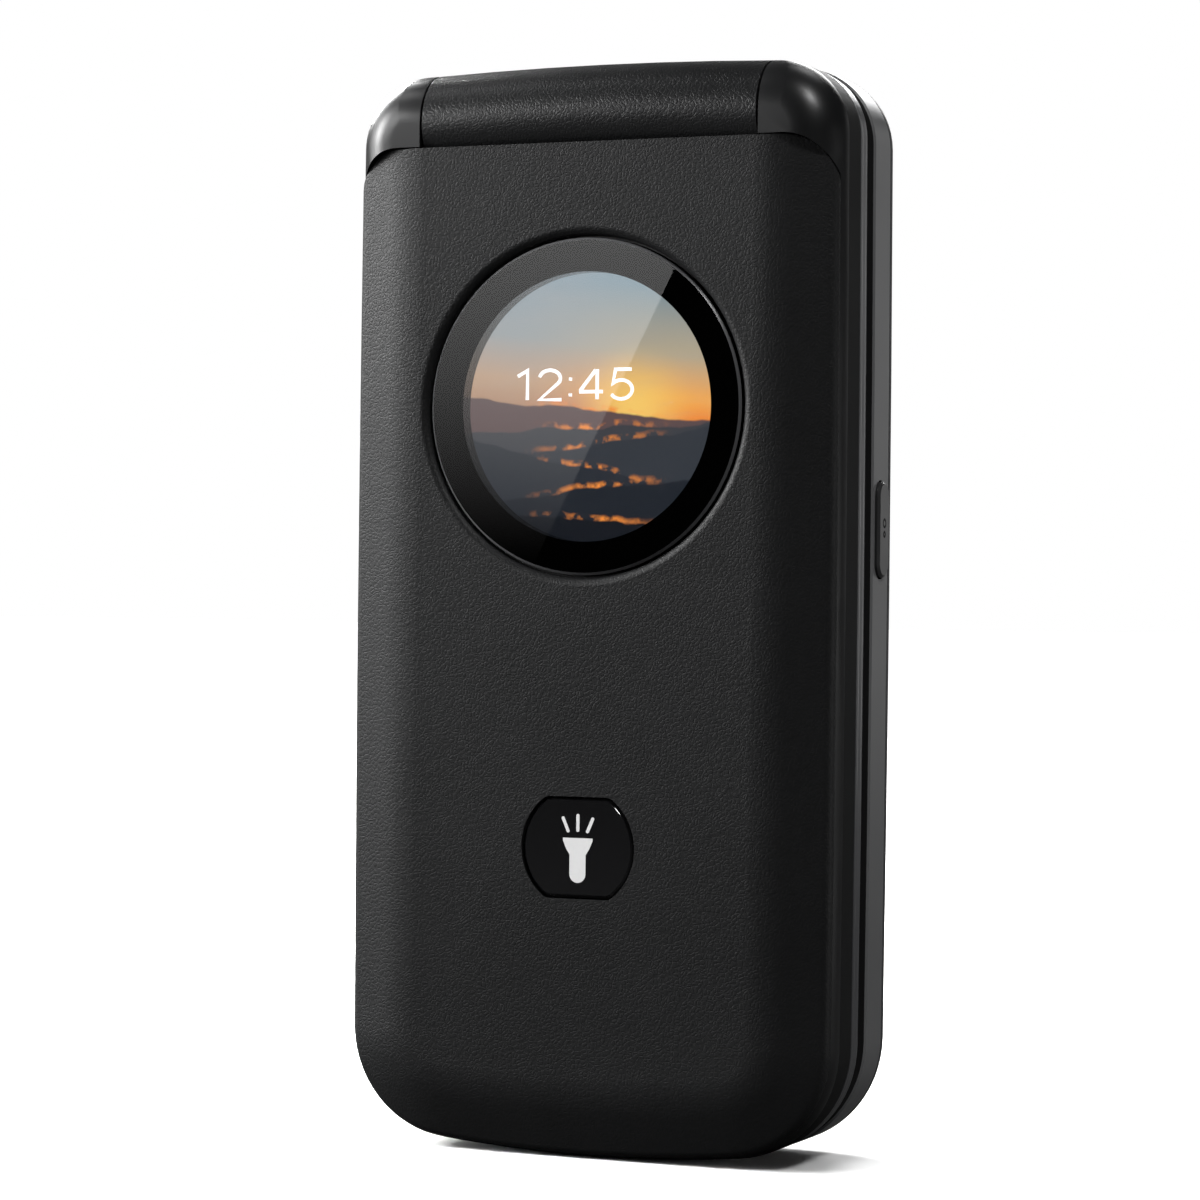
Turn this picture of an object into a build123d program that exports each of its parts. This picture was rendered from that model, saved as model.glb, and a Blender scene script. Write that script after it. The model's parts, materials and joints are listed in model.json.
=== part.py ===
from build123d import *
import os
from math import radians, sqrt, tan

# A clamshell phone, closed and standing on its foot. X runs to its right as seen from the
# front of the lid, Z up its length, Y back through its depth, and the origin is the middle
# of the foot. Names that end in _front, _back, _seam or _face are depths behind the front
# of the lid. All sizes are millimetres.

# ---- the closed case ----
length = 109.2
width = 52.0                # at the corners; the sides bow out from here
side_bow = 0.2              # by this much at mid height
depth = 19.2
foot_corner = 11.3          # corner radius seen from the front, at the foot
lid_head_corner = 7.4       # and at the hinge end: the lid's shoulders
base_head_corner = 7.9      # and the base behind them
foot_bow = 2.2              # the foot curves up by this much at its corners
lid_head_crown = 1.0        # the hinge end curves down by this much at its corners
base_head_crown = 0.6

# ---- how the halves share the depth ----
lid_thickness = 10.1
closing_gap = 0.5           # air between the closed lid and the keypad face
keypad_rise = 1.7           # keypad plateau above the base rim
groove_inset = 1.6          # plateau set in from the sides: the dark groove round the case
back_cover_depth = 2.3

# ---- hinge ----
barrel_radius = 5.35
barrel_half = 18.0          # half the length of the middle knuckle
barrel_crown = 0.4          # the knuckle arches by this much at its middle
barrel_steps = 3            # in so many straight steps on each side
hinge_drop = 5.75           # axis below the top of the case
knuckle_gap = 0.25          # air between knuckle and shoulders
sweep_gap = 0.55            # air between the knuckle and the lid's round cut-out
tube_radius = 4.35          # plastic tube under the knuckle's cover
core_radius = 3.4           # bore for the hinge cartridge and the pivot
neck_top = 3.2              # the neck joins the base from here above the axis
neck_bottom = 4.5           # to here below it
pivot_bore = 2.3
running_fit = 0.05
seat_fit = 0.02
key_length = 4.0            # how far the hinge parts are keyed into each shoulder
key_flats = 5.0
cam_stub_radius = 1.5
cam_stub_length = 3.6
cartridge_length = 12.5
pivot_length = 8.0
flex_radius = 1.9
flex_wall = 0.4
flex_tail = 4.6
flex_sheet = 0.3
flex_lead = 0.5             # the rolled circuit starts this far inside the left shoulder
flex_stand = 1.5            # and its tail leaves it this far past the pivot
flex_play = 0.15
flex_slit_side = 0.2
stub_play = 0.1
neck_root = 0.3             # the neck reaches this far into the base's rim

# ---- lid shell ----
shoulder_roll = 4.6         # radius that rolls the lid frame's front edge back
cover_skirt = 2.95          # the soft cover meets the frame at this depth
cover_wall = 1.3
cover_fit = 0.05
cover_gap = 0.12
cover_drop = 8.25           # top edge of the cover below the top of the case
cover_corner = 5.0
cut_clear = 0.02            # a cutting outline stands off the sides that it follows by this much
round_trim = 0.01           # end radii of slots and keys fall short of half their height by this
roll_width = 6.0            # the cover rolls back over this width
roll_depth = 2.0            # by this much
roll_blend = 12.0
edge_round = 1.1
tall_reach = 1.3            # the tall outline ends at this many case lengths
deck_wall = 1.1
lid_wall = 1.5
bezel_depth = 2.2
seam_chamfer = 0.2

# ---- round outer display ----
lens_radius = 16.73
lens_drop = 34.45           # centre below the top of the case
lens_gap = 0.25
lens_rim_round = 0.9
glass_recess = 0.3
glass_thick = 0.7
glass_chamfer = 0.25
aperture_radius = 13.4
aperture_height = 1.7
panel_radius = 14.6
panel_fit = 0.1
outer_panel_thick = 2.3
panel_tail_width = 12.0
panel_tail_length = 2.4
cup_wall = 1.2
cup_depth = 1.0

# ---- torch button ----
torch_height = 31.04
torch_radius = 5.95
torch_tall = 9.84
torch_corner = 1.2
torch_gap = 0.15
torch_recess = 0.1
torch_lip = 0.7
torch_lip_thick = 0.45
torch_travel = 0.5
torch_chamfer = 0.3
switch_side = 4.5

# ---- inside the lid ----
lid_board_thick = 0.8
lid_board_side = 4.0        # inner parts are set in from the case's sides,
lid_board_foot = 22.0       # from its foot
lid_board_drop = 20.8       # and from its top by these distances
display_side = 3.0
display_foot = 19.5
display_drop = 22.8
window_inset = 2.0          # the opening is set in from the display at its sides
window_foot_inset = 3.5     # at its foot
window_head_inset = 3.0     # and at its head
window_border = 2.5         # window overlaps the opening by this much
window_thick = 0.7
window_recess = 0.1
window_gap = 0.08
window_ledge = 0.6
receiver_drop = 18.5
receiver_width = 12.0
receiver_tall = 5.0
receiver_thick = 2.6
slot_width = 7.5
slot_tall = 1.0
mesh_border = 0.6
mesh_thick = 0.3
mesh_recess = 0.3
magnet_radius = 2.5
magnet_thick = 1.2
magnet_side = 16.0
magnet_height = 14.0
lid_screw_side = 4.2
lid_screw_foot = 13.2
lid_screw_drop = 16.5
post_radius = 2.2
socket_wall = 0.4           # wall of the bezel's sockets over the posts
bumper_radius = 1.9
bumper_fit = 0.05
bumper_proud = 0.4

# ---- screws ----
screw_radius = 0.7
screw_head_radius = 1.3
screw_head = 0.6
screw_length = 3.6
hole_fit = 0.03
screw_play = 0.1
board_hole_play = 0.2
screw_reach = 0.4           # base screws end this far inside the plateau
screw_sink = 1.0            # depth of the counterbore in the lid's bezel

# ---- base shell ----
base_wall = 1.6
case_fit = 0.1
keypad_wall = 1.1
cavity_inset = 5.4          # keypad cavity set in from the sides
cavity_corner = 2.0
board_inset = 3.0
plateau_drop = 3.0          # plateau ends this far below the hinge axis
plateau_corner = 7.0
back_wall = 1.1
back_rim = 1.5
back_round = 1.9
bay_floor = 0.65
bay_fit = 0.2

# ---- keypad ----
keypad_side = 5.3           # the three columns fill the width inside this border
column_gap = 1.8
row_gap = 1.6
nav_row_gap = 2.2           # between the top row and the four-way ring
key_corner = 1.8
first_row = 13.8
key_proud = 0.2
key_gap = 0.2
key_chamfer = 0.25
key_lip = 0.5
key_lip_corner = 1.5
key_lip_thick = 0.4
key_stem = 0.6
key_stem_radius = 1.2
key_travel = 0.33
key_clear = 0.05
nav_height = 69.0
nav_radius = 10.6
nav_bore = 5.6
nav_tilt = 1.2              # degrees, each way about both axes
nav_lift = 0.35             # room over the ring's lip for its tilt
nav_lip_thick = 0.3
nav_gap = 0.25
nav_hoop_gap = 0.4          # the rocker plate's hoop starts this far outside its nubs
nav_hoop_thick = 0.15
nav_chamfer = 0.5
nav_margin = 3.5            # from the ring to the top of the keypad cavity
nav_pad_thick = 0.4
nav_nub = 0.15
nav_nub_ring = 8.0
nav_notch = 1.8             # half width of the notches round the ring's own nubs
ok_radius = 5.2
ok_lip = 0.8
ok_lip_thick = 0.3
ok_lip_gap = 0.4
soft_gap = 1.6              # between the ring and the keys beside it
soft_border = 0.8           # between those keys and the cavity's side
soft_tall = 13.0
dome_radius = 2.0
dome_height = 0.3
dome_taper = 60            # degrees
dome_sheet_thick = 0.12

# ---- base electronics ----
main_board_thick = 0.8
battery_side = 7.0
battery_drop = 41.8
battery_foot = 17.4
battery_corner = 1.5
battery_play = 0.1
contact_side = 9.0          # contacts set in from the battery's side
contact_width = 8.0
contact_tall = 3.0
contact_thick = 2.6
shield_drop = 32.6
shield_width = 23.0
shield_tall = 13.0
shield_thick = 1.05
shield_chamfer = 0.2
sim_width = 15.0
sim_tall = 12.6
sim_thick = 1.3
sim_floor = 0.35
sim_wall = 0.6
sim_lip = 1.0               # wall at the card slot's foot
sim_sheet_front = 0.3
sim_sheet_back = 0.2
antenna_side = 8.0
antenna_tall = 5.0
antenna_drop = 7.8
antenna_thick = 0.3
speaker_side = 12.5
speaker_height = 9.6
speaker_width = 13.5
speaker_tall = 9.6
speaker_play = 0.1
speaker_corner = 2.0
speaker_chamfer = 0.4
grille_side = 1.5           # slots end this far inside the speaker's sides
grille_slots = 5
grille_pitch = 2.0
grille_slot = 0.9
motor_side = 10.7
motor_height = 11.4
motor_radius = 4.5
motor_thick = 2.3
mic_gap = 2.05              # from the charging socket
mic_height = 5.0
mic_wide = 3.6
mic_thick = 1.1
mic_hole = 0.5
port_width = 7.5
port_tall = 2.45
port_length = 5.2
port_front = 13.75
port_wall = 0.35
port_back_wall = 1.0
port_tongue = 0.5           # thickness of the contact tongue
port_tongue_drop = 1.0      # its tip stands this far inside the mouth
port_fit = 0.1
camera_x = -7.0
camera_drop = 20.8
camera_side = 7.0
camera_body = 2.25
camera_lens_radius = 2.6
torch_led_x = 7.0
led_side = 4.0
led_lens_radius = 1.9
eye_wall = 0.95
eye_proud = 0.3             # rims stand this much below the back face
eye_gap = 0.15
camera_glass_radius = 4.2
camera_glass_thick = 0.7
pocket_fit = 0.1
base_screw_side = 3.7
base_screw_foot = 22.0
base_screw_top_side = 6.4
base_screw_drop = 10.8
base_screw_sink = 0.8

# ---- side keys ----
side_key_height = 62.9
side_key_tall = 9.6
side_key_thick = 3.0
side_key_proud = 0.45
side_key_gap = 0.15
side_key_lip = 0.6
side_key_travel = 0.4
side_key_chamfer = 0.25
side_room_wall = 0.4        # wall left in front of and behind the side keys' pockets
rocker_height = 62.9
rocker_tall = 17.0
rocker_ear = 2.0
side_switch_wide = 2.0
side_switch_tall = 4.4
side_switch_thick = 1.65
side_pocket = 1.8           # solid wall left between battery bay and side pocket

# ---- depths that follow ----
bezel_seam = lid_thickness - bezel_depth
deck_front = cover_wall + cover_fit
deck_back = deck_front + deck_wall
glass_back = glass_recess + glass_thick
ring_back = glass_back + aperture_height
lid_board_front = ring_back + outer_panel_thick
lid_board_back = lid_board_front + lid_board_thick
window_front = lid_thickness - window_recess - window_thick
plate_front = window_front - window_ledge
keypad_face = lid_thickness + closing_gap
base_rim = keypad_face + keypad_rise
keypad_back = keypad_face + keypad_wall
lip_front = keypad_back + key_clear
stem_front = lip_front + key_lip_thick
stem_back = stem_front + key_stem
dome_front = stem_back + key_travel + key_clear
sheet_front = dome_front + dome_height
board_front = sheet_front + dome_sheet_thick
board_back = board_front + main_board_thick
nav_lip_front = keypad_back + nav_lift
nav_pad_front = nav_lip_front + nav_lip_thick
nav_nub_back = nav_pad_front + nav_pad_thick + nav_nub
nav_pad_bore = ok_radius + ok_lip + ok_lip_gap
ok_lip_front = nav_pad_front - nav_lip_thick / 2
bay_front = board_back + bay_floor
back_seam = depth - back_cover_depth
back_inner = depth - back_wall

# ---- places that follow ----
hinge_y = barrel_radius - depth / 2
hinge_z = length - hinge_drop
sweep_radius = barrel_radius + sweep_gap
shoulder_x = barrel_half + knuckle_gap
crease_inset = shoulder_roll - sqrt(shoulder_roll**2 - (shoulder_roll - cover_skirt) ** 2)
cavity_top = hinge_z - sweep_radius - lid_wall
lens_height = length - lens_drop
receiver_height = length - receiver_drop
display_wide = width - 2 * display_side
display_head = length - display_drop
window_wide = display_wide - 2 * window_inset
window_foot = display_foot + window_foot_inset
window_head = display_head - window_head_inset
window_tall = window_head - window_foot
window_middle = (window_foot + window_head) / 2
keypad_cavity_top = nav_height + nav_radius + nav_margin
plateau_top = hinge_z - plateau_drop
key_column = (width - 2 * keypad_side) / 3
key_wide = key_column - column_gap
key_row = (nav_height - nav_radius - nav_row_gap + row_gap / 2 - first_row) / 4.5
key_tall = key_row - row_gap
soft_wide = width / 2 - cavity_inset - soft_border - soft_gap - nav_radius
soft_x = nav_radius + soft_gap + soft_wide / 2
battery_wide = width - 2 * battery_side
battery_tall = length - battery_drop - battery_foot
battery_middle = battery_foot + battery_tall / 2
contact_x = battery_wide / 2 - contact_side
contact_height = battery_foot + battery_tall + contact_tall / 2
shield_x = shield_width / 2 - battery_wide / 2
shield_height = length - shield_drop
speaker_x = width / 2 - speaker_side
grille_wide = speaker_width - 2 * grille_side
motor_x = motor_side - width / 2
mic_x = -(port_width / 2 + mic_gap + mic_wide / 2)
camera_height = length - camera_drop
flex_end = -shoulder_x + pivot_length + flex_tail + flex_stand
side_face = width / 2 + side_bow
wall_inner = side_face - base_wall
key_face = side_face + side_key_proud
key_back = wall_inner - side_key_lip - key_clear
side_key_depth = (base_rim + back_seam) / 2


# ---- drawing helpers ----
def slab(face, front, back):
    """Face drawn as seen from the front, made solid from one depth to another."""
    plane = Plane(origin=(0, back - depth / 2, 0), x_dir=(1, 0, 0), z_dir=(0, -1, 0))
    return extrude(plane * face, amount=back - front, dir=plane.z_dir)


def across(face, left, right):
    """Face drawn in the YZ plane, made solid from one x to another."""
    plane = Plane(origin=(left, 0, 0), x_dir=(0, 1, 0), z_dir=(1, 0, 0))
    return extrude(plane * face, amount=right - left, dir=plane.z_dir)


def disc(x, z, radius, front, back):
    return slab(Pos(x, z) * Circle(radius), front, back)


def plate(x, z, wide, tall, corner, front, back):
    return slab(Pos(x, z) * RectangleRounded(wide, tall, corner), front, back)


def block(x, z, wide, tall, front, back):
    return slab(Pos(x, z) * Rectangle(wide, tall), front, back)


def below(height):
    """Front-view area below a height, wider than the case."""
    return Pos(0, height - length) * Rectangle(2 * width, 2 * length)


def layer(shape, front, back):
    """The part of a shape between two depths."""
    return shape & slab(Rectangle(3 * width, 5 * length), front, back)


def front_edges(shape):
    return shape.faces().sort_by(Axis.Y)[0].outer_wire().edges()


def back_edges(shape):
    return shape.faces().sort_by(Axis.Y)[-1].outer_wire().edges()


def half_outline(inset, head_corner, head_crown):
    """The phone seen from the front: bowed foot and sides, crowned head and round corners."""
    half = width / 2 - inset
    roof = length - inset
    foot_end = inset + foot_bow
    head_end = roof - head_crown
    foot = ThreePointArc((-half, foot_end), (0, inset), (half, foot_end))
    head = ThreePointArc((half, head_end), (0, roof), (-half, head_end))
    right = ThreePointArc(foot @ 1, (half + side_bow, length / 2), head @ 0)
    left = ThreePointArc(head @ 1, (-half - side_bow, length / 2), foot @ 0)
    face = make_face(Curve() + [foot, right, head, left])
    face = fillet(face.vertices().group_by(Axis.Y)[0], foot_corner - inset)
    return fillet(face.vertices().group_by(Axis.Y)[-1], head_corner - inset)


def lid_outline(inset=0.0):
    return half_outline(inset, lid_head_corner, lid_head_crown)


def base_outline(inset=0.0):
    return half_outline(inset, base_head_corner, base_head_crown)


def tall_outline(inset):
    """The case's foot and sides, carried on past its head."""
    half = width / 2 - inset
    end = half + side_bow * (1 - (2 * tall_reach - 1) ** 2)
    top = tall_reach * length
    foot = ThreePointArc((-half, inset + foot_bow), (0, inset), (half, inset + foot_bow))
    right = ThreePointArc(foot @ 1, (half + side_bow, length / 2), (end, top))
    left = ThreePointArc((-end, top), (-half - side_bow, length / 2), foot @ 0)
    face = make_face(Curve() + [foot, right, Line(right @ 1, left @ 0), left])
    return fillet(face.vertices().group_by(Axis.Y)[0], foot_corner - inset)


def cover_outline(grow=0.0, stand_off=0.0):
    """The lid cover seen from the front, larger all round by grow and beside it by stand_off."""
    face = tall_outline(crease_inset - grow - stand_off) & below(length - cover_drop + grow)
    return fillet(face.vertices().group_by(Axis.Y)[-1], cover_corner + grow)


def rolled(inset, front, back, rounds=True):
    """Tall slab whose front edge rolls back along the sides and the foot."""
    shape = slab(tall_outline(inset), front, front + roll_depth + 2 * edge_round)
    face = shape.faces().sort_by(Axis.Y)[0]
    shape = chamfer(face.edges(), roll_width, roll_depth, reference=face)
    if rounds:
        edge_y = front + roll_depth - depth / 2
        side_edges = shape.edges().filter_by_position(Axis.Y, edge_y - 0.01, edge_y + 0.01)
        shape = fillet(side_edges, edge_round)
        shape = fillet(front_edges(shape), roll_blend)
    return layer(shape, front, back)


def cover_solid(shrink, front, back, rounds=False):
    """The lid cover's rolled form, shrunk by a wall, between two depths."""
    outline = slab(cover_outline(-shrink, cut_clear), front, back)
    return rolled(crease_inset + shrink, front, back, rounds) & outline


def hinge_disc(radius, left, right):
    return across(Pos(hinge_y, hinge_z) * Circle(radius), left, right)


def hinge_key(left, right, fit=0.0):
    """Round bar with two flats that keys a hinge part into a shoulder."""
    bar = Circle(core_radius - seat_fit + fit) & Rectangle(4 * core_radius, key_flats + 2 * fit)
    return across(Pos(hinge_y, hinge_z) * bar, left, right)


# ---- lid ----
def lid_form():
    """Outer form of the closed lid: rolled front edge and round shoulders."""
    shape = slab(lid_outline(), 0, lid_thickness)
    shape = fillet(front_edges(shape), shoulder_roll)
    lower = Pos(0, hinge_z - length) * Rectangle(2 * depth, 2 * length)
    round_head = Pos(hinge_y, hinge_z) * Circle(barrel_radius)
    return shape & across(lower + round_head, -width, width)


def sweep_room():
    """Round cut-out in the lid in which the knuckle turns."""
    return hinge_disc(sweep_radius, -shoulder_x, shoulder_x)


def lens_seat():
    """Cup behind the deck that carries the round display."""
    seat_back = ring_back + cup_depth
    cup = disc(0, lens_height, lens_radius + panel_fit + cup_wall, deck_back - deck_wall / 2, seat_back)
    bore = disc(0, lens_height, lens_radius + panel_fit, 0, ring_back)
    return cup, bore + disc(0, lens_height, panel_radius + panel_fit, ring_back, seat_back)


def torch_outline(grow=0.0):
    """Round button cut flat at its top and foot."""
    face = Circle(torch_radius + grow) & Rectangle(4 * torch_radius, torch_tall + 2 * grow)
    return Pos(0, torch_height) * fillet(face.vertices(), torch_corner)


def lid_screw_places():
    x = width / 2 - lid_screw_side
    return [(side * x, z) for side in (-1, 1) for z in (lid_screw_foot, length - lid_screw_drop)]


def hinge_keyways():
    """Room in the shoulders for the keyed ends of the hinge parts."""
    right = hinge_key(shoulder_x, shoulder_x + key_length)
    left = hinge_key(-shoulder_x - key_length, -shoulder_x)
    return right + left


def lid_cover():
    shape = cover_solid(0, 0, cover_skirt, rounds=True)
    shape = shape - cover_solid(cover_wall, cover_wall, cover_skirt)
    lens_hole = disc(0, lens_height, lens_radius + lens_gap, 0, cover_skirt)
    shape = shape - lens_hole - slab(torch_outline(torch_gap), 0, cover_skirt) - sweep_room()
    rim = [e for e in front_face_circles(shape) if abs(e.radius - lens_radius - lens_gap) < 0.01]
    return fillet(rim, lens_rim_round)


def front_face_circles(shape):
    """Round edges on the flat front of a shape."""
    return shape.faces().sort_by(Axis.Y)[0].edges().filter_by(GeomType.CIRCLE)


def lid_frame():
    shape = layer(lid_form(), 0, bezel_seam)
    shape = shape - slab(cover_outline(cover_gap), -1, cover_skirt)
    shape = shape + cover_solid(deck_front, deck_front, cover_skirt)
    shape = shape - cover_solid(deck_back, deck_back, bezel_seam)
    wide_front = deck_back + roll_depth
    shape = shape - slab(lid_outline(lid_wall) & below(cavity_top), wide_front, bezel_seam)
    cup, bore = lens_seat()
    shape = shape + cup - bore
    shape = shape - slab(torch_outline(torch_gap), 0, bezel_seam)
    for x, z in lid_screw_places():
        shape = shape + disc(x, z, post_radius, cover_skirt, bezel_seam)
        shape = shape - disc(x, z, screw_radius + hole_fit, wide_front, bezel_seam)
    return shape - sweep_room() - hinge_keyways()


def lid_bezel():
    """Inner half of the lid: the frame round the main display."""
    shape = layer(lid_form(), bezel_seam, lid_thickness)
    shape = chamfer(back_edges(shape), seam_chamfer)
    shape = chamfer(front_edges(shape), seam_chamfer)
    shape = shape - slab(lid_outline(lid_wall) & below(cavity_top), bezel_seam, plate_front)
    recess_wide = window_wide + 2 * window_border + 2 * window_gap
    recess_tall = window_tall + 2 * window_border + 2 * window_gap
    shape = shape - plate(0, window_middle, recess_wide, recess_tall, window_border, window_front,
                          lid_thickness)
    shape = shape - plate(0, window_middle, window_wide, window_tall, window_border / 2, plate_front,
                          window_front)
    shape = shape - plate(0, receiver_height, slot_width, slot_tall, slot_tall / 2 - round_trim, plate_front,
                          lid_thickness)
    shape = shape - receiver_grille_room()
    for x, z in lid_screw_places():
        shape = shape + disc(x, z, post_radius + socket_wall, bezel_seam, plate_front + seam_chamfer)
        shape = shape - disc(x, z, screw_radius + screw_play, bezel_seam, lid_thickness)
        shape = shape - disc(x, z, bumper_radius + bumper_fit, lid_thickness - screw_sink, lid_thickness)
    return shape - sweep_room() - hinge_keyways()


def mesh_outline():
    wide = slot_width + 2 * mesh_border
    tall = slot_tall + 2 * mesh_border
    return Pos(0, receiver_height) * RectangleRounded(wide, tall, tall / 2 - round_trim)


def receiver_grille_room():
    return slab(mesh_outline(), lid_thickness - mesh_recess - mesh_thick, lid_thickness)


def receiver_mesh():
    back = lid_thickness - mesh_recess
    return slab(mesh_outline(), back - mesh_thick, back)


def outer_glass():
    shape = disc(0, lens_height, lens_radius, glass_recess, glass_back)
    return chamfer(front_edges(shape), glass_chamfer)


def lens_ring():
    shape = disc(0, lens_height, lens_radius, glass_back, ring_back)
    return shape - disc(0, lens_height, aperture_radius, glass_back, ring_back)


def outer_display():
    shape = disc(0, lens_height, panel_radius, ring_back, lid_board_front)
    tail_z = lens_height - panel_radius - panel_tail_length / 2 + 1
    tail_front = ring_back + cup_depth
    return shape + block(0, tail_z, panel_tail_width, panel_tail_length + 2, tail_front, lid_board_front)


def lid_board():
    """Board with the tact switch behind the torch button."""
    wide = width - 2 * lid_board_side
    head = length - lid_board_drop
    board = plate(0, (head + lid_board_foot) / 2, wide, head - lid_board_foot, 2, lid_board_front,
                  lid_board_back)
    return board + block(0, torch_height, switch_side, switch_side, torch_rest(), lid_board_front)


def torch_lip_front():
    return deck_back + key_clear


def torch_rest():
    """Front of the torch switch: the button's back when it is fully pressed, and a little air."""
    return torch_lip_front() + torch_lip_thick + torch_travel + key_clear


def torch_button():
    cap = slab(torch_outline(), torch_recess, torch_lip_front())
    cap = chamfer(front_edges(cap), torch_chamfer)
    lip_back = torch_lip_front() + torch_lip_thick
    return cap + slab(torch_outline(torch_lip), torch_lip_front(), lip_back)


def inner_display():
    tall = display_head - display_foot
    middle = (display_head + display_foot) / 2
    return plate(0, middle, display_wide, tall, 1, lid_board_back, plate_front)


def inner_window():
    wide = window_wide + 2 * window_border
    tall = window_tall + 2 * window_border
    return plate(0, window_middle, wide, tall, window_border, window_front, window_front + window_thick)


def receiver():
    front = plate_front - receiver_thick
    return plate(0, receiver_height, receiver_width, receiver_tall, 1, front, plate_front)


def lid_magnet():
    x = width / 2 - magnet_side
    return disc(x, magnet_height, magnet_radius, deck_back, deck_back + magnet_thick)


def screw(x, z, head_front, shank_front):
    """Screw driven from behind: its head sits on head_front and its shank runs forward."""
    head = disc(x, z, screw_head_radius, head_front, head_front + screw_head)
    return head + disc(x, z, screw_radius, shank_front, head_front)


def lid_screws():
    head_front = lid_thickness - screw_sink
    return Compound([screw(x, z, head_front, head_front - screw_length) for x, z in lid_screw_places()])


def lid_bumpers():
    front = lid_thickness - screw_sink + screw_head
    back = lid_thickness + bumper_proud
    return Compound([disc(x, z, bumper_radius, front, back) for x, z in lid_screw_places()])


# ---- hinge parts ----
def hinge_cam_head():
    """Keyed into the right shoulder; its stub turns in the cartridge."""
    head = hinge_key(shoulder_x, shoulder_x + key_length)
    return head + hinge_disc(cam_stub_radius, shoulder_x - cam_stub_length, shoulder_x)


def hinge_pivot():
    """Hollow pivot keyed into the left shoulder, through which the flex passes."""
    shape = hinge_key(-shoulder_x - key_length, -shoulder_x)
    shape = shape + hinge_disc(core_radius - running_fit, -shoulder_x, -shoulder_x + pivot_length)
    return shape - hinge_disc(pivot_bore, -2 * width, 0)


def hinge_cartridge():
    """Sprung cam in its can, seated in the right half of the knuckle."""
    shape = hinge_disc(core_radius - seat_fit, barrel_half - cartridge_length, barrel_half)
    stub_room = cam_stub_length - knuckle_gap + stub_play
    return shape - hinge_disc(cam_stub_radius + running_fit, barrel_half - stub_room, barrel_half)


def hinge_flex():
    """Flexible circuit rolled round the hinge axis, with a tail to the main board."""
    roll = hinge_disc(flex_radius, -shoulder_x - key_length + flex_lead, flex_end)
    roll = roll - hinge_disc(flex_radius - flex_wall, -width, flex_end - flex_tail)
    tail_y = board_front - depth / 2
    middle = (hinge_y + tail_y) / 2
    tail = Pos(middle, hinge_z) * Rectangle(tail_y - hinge_y, flex_sheet)
    return roll + across(tail, flex_end - flex_tail, flex_end)


def barrel_form():
    """The knuckle: a round bar arched upwards in short straight steps."""
    sections = []
    for step in range(2 * barrel_steps + 1):
        place = step / barrel_steps - 1
        lift = barrel_crown * (1 - place**2)
        origin = (place * barrel_half, hinge_y, hinge_z + lift)
        plane = Plane(origin=origin, x_dir=(0, 1, 0), z_dir=(1, 0, 0))
        sections.append(plane * Circle(barrel_radius))
    return loft(sections, ruled=True)


def neck(half=barrel_half):
    """Web that joins the knuckle to the base behind it."""
    face_y = keypad_face - depth / 2
    rim_y = base_rim - depth / 2 + neck_root
    low = sqrt(sweep_radius**2 - (face_y - hinge_y) ** 2)
    corners = [(hinge_y + tube_radius / 2, hinge_z + neck_top), (rim_y, hinge_z + neck_top),
               (rim_y, hinge_z - neck_bottom), (face_y, hinge_z - neck_bottom),
               (face_y, hinge_z - low), (hinge_y + tube_radius / 2, hinge_z - low / 2)]
    return across(make_face(Polyline(*corners, close=True)), -half, half)


def barrel_cover():
    return barrel_form() - hinge_disc(tube_radius, -width, width) - neck(width)


# ---- base shell ----
def base_screw_places():
    low = width / 2 - base_screw_side
    high = width / 2 - base_screw_top_side
    head = length - base_screw_drop
    return [(-low, base_screw_foot), (low, base_screw_foot), (-high, head), (high, head)]


def side_key_room(side, height, tall):
    """Pocket inside the wall for a side key's lip and its switch."""
    reach = tall + 2 * side_key_lip + 4 * key_clear
    inner = battery_wide / 2 + bay_fit + side_pocket
    wide = wall_inner - inner
    x = side * (inner + wide / 2)
    return block(x, height, wide, reach, base_rim + side_room_wall, back_seam - side_room_wall)


def side_key_outline(height, tall, grow=0.0):
    """Side key seen along X."""
    thick = side_key_thick + 2 * grow
    y = side_key_depth - depth / 2
    return Pos(y, height) * RectangleRounded(thick, tall + 2 * grow, thick / 2 - round_trim)


def plateau_outline(inset=0.0):
    face = tall_outline(groove_inset + inset) & below(plateau_top - inset)
    return fillet(face.vertices().group_by(Axis.Y)[-1], plateau_corner - inset)


def cavity_outline(inset=0.0):
    face = tall_outline(cavity_inset + inset) & below(keypad_cavity_top - inset)
    return fillet(face.vertices().group_by(Axis.Y)[-1], cavity_corner)


def base_front_housing():
    """Keypad plateau, its flange, and the tube that carries the hinge."""
    shape = slab(base_outline(base_wall + case_fit), base_rim, board_front)
    shape = shape + slab(plateau_outline(), keypad_face, base_rim)
    shape = shape + neck() + hinge_disc(tube_radius, -barrel_half, barrel_half)
    shape = shape - hinge_disc(core_radius, -barrel_half, barrel_half)
    shape = shape - slab(cavity_outline(), keypad_back, board_front)
    for place in key_places().values():
        shape = shape - key_hole(*place)
    shape = shape - disc(0, nav_height, nav_radius + nav_gap, keypad_face, keypad_back)
    for x, z in base_screw_places():
        shape = shape - disc(x, z, screw_radius + hole_fit, keypad_back - screw_reach, board_front)
    shape = shape - side_key_room(1, side_key_height, side_key_tall)
    shape = shape - side_key_room(-1, rocker_height, rocker_tall)
    slit = Pos((hinge_y + board_front - depth / 2) / 2, hinge_z) * Rectangle(
        board_front - depth / 2 - hinge_y, flex_sheet + 2 * flex_play)
    return shape - across(slit, flex_end - flex_tail - flex_slit_side, flex_end + flex_slit_side)


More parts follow.
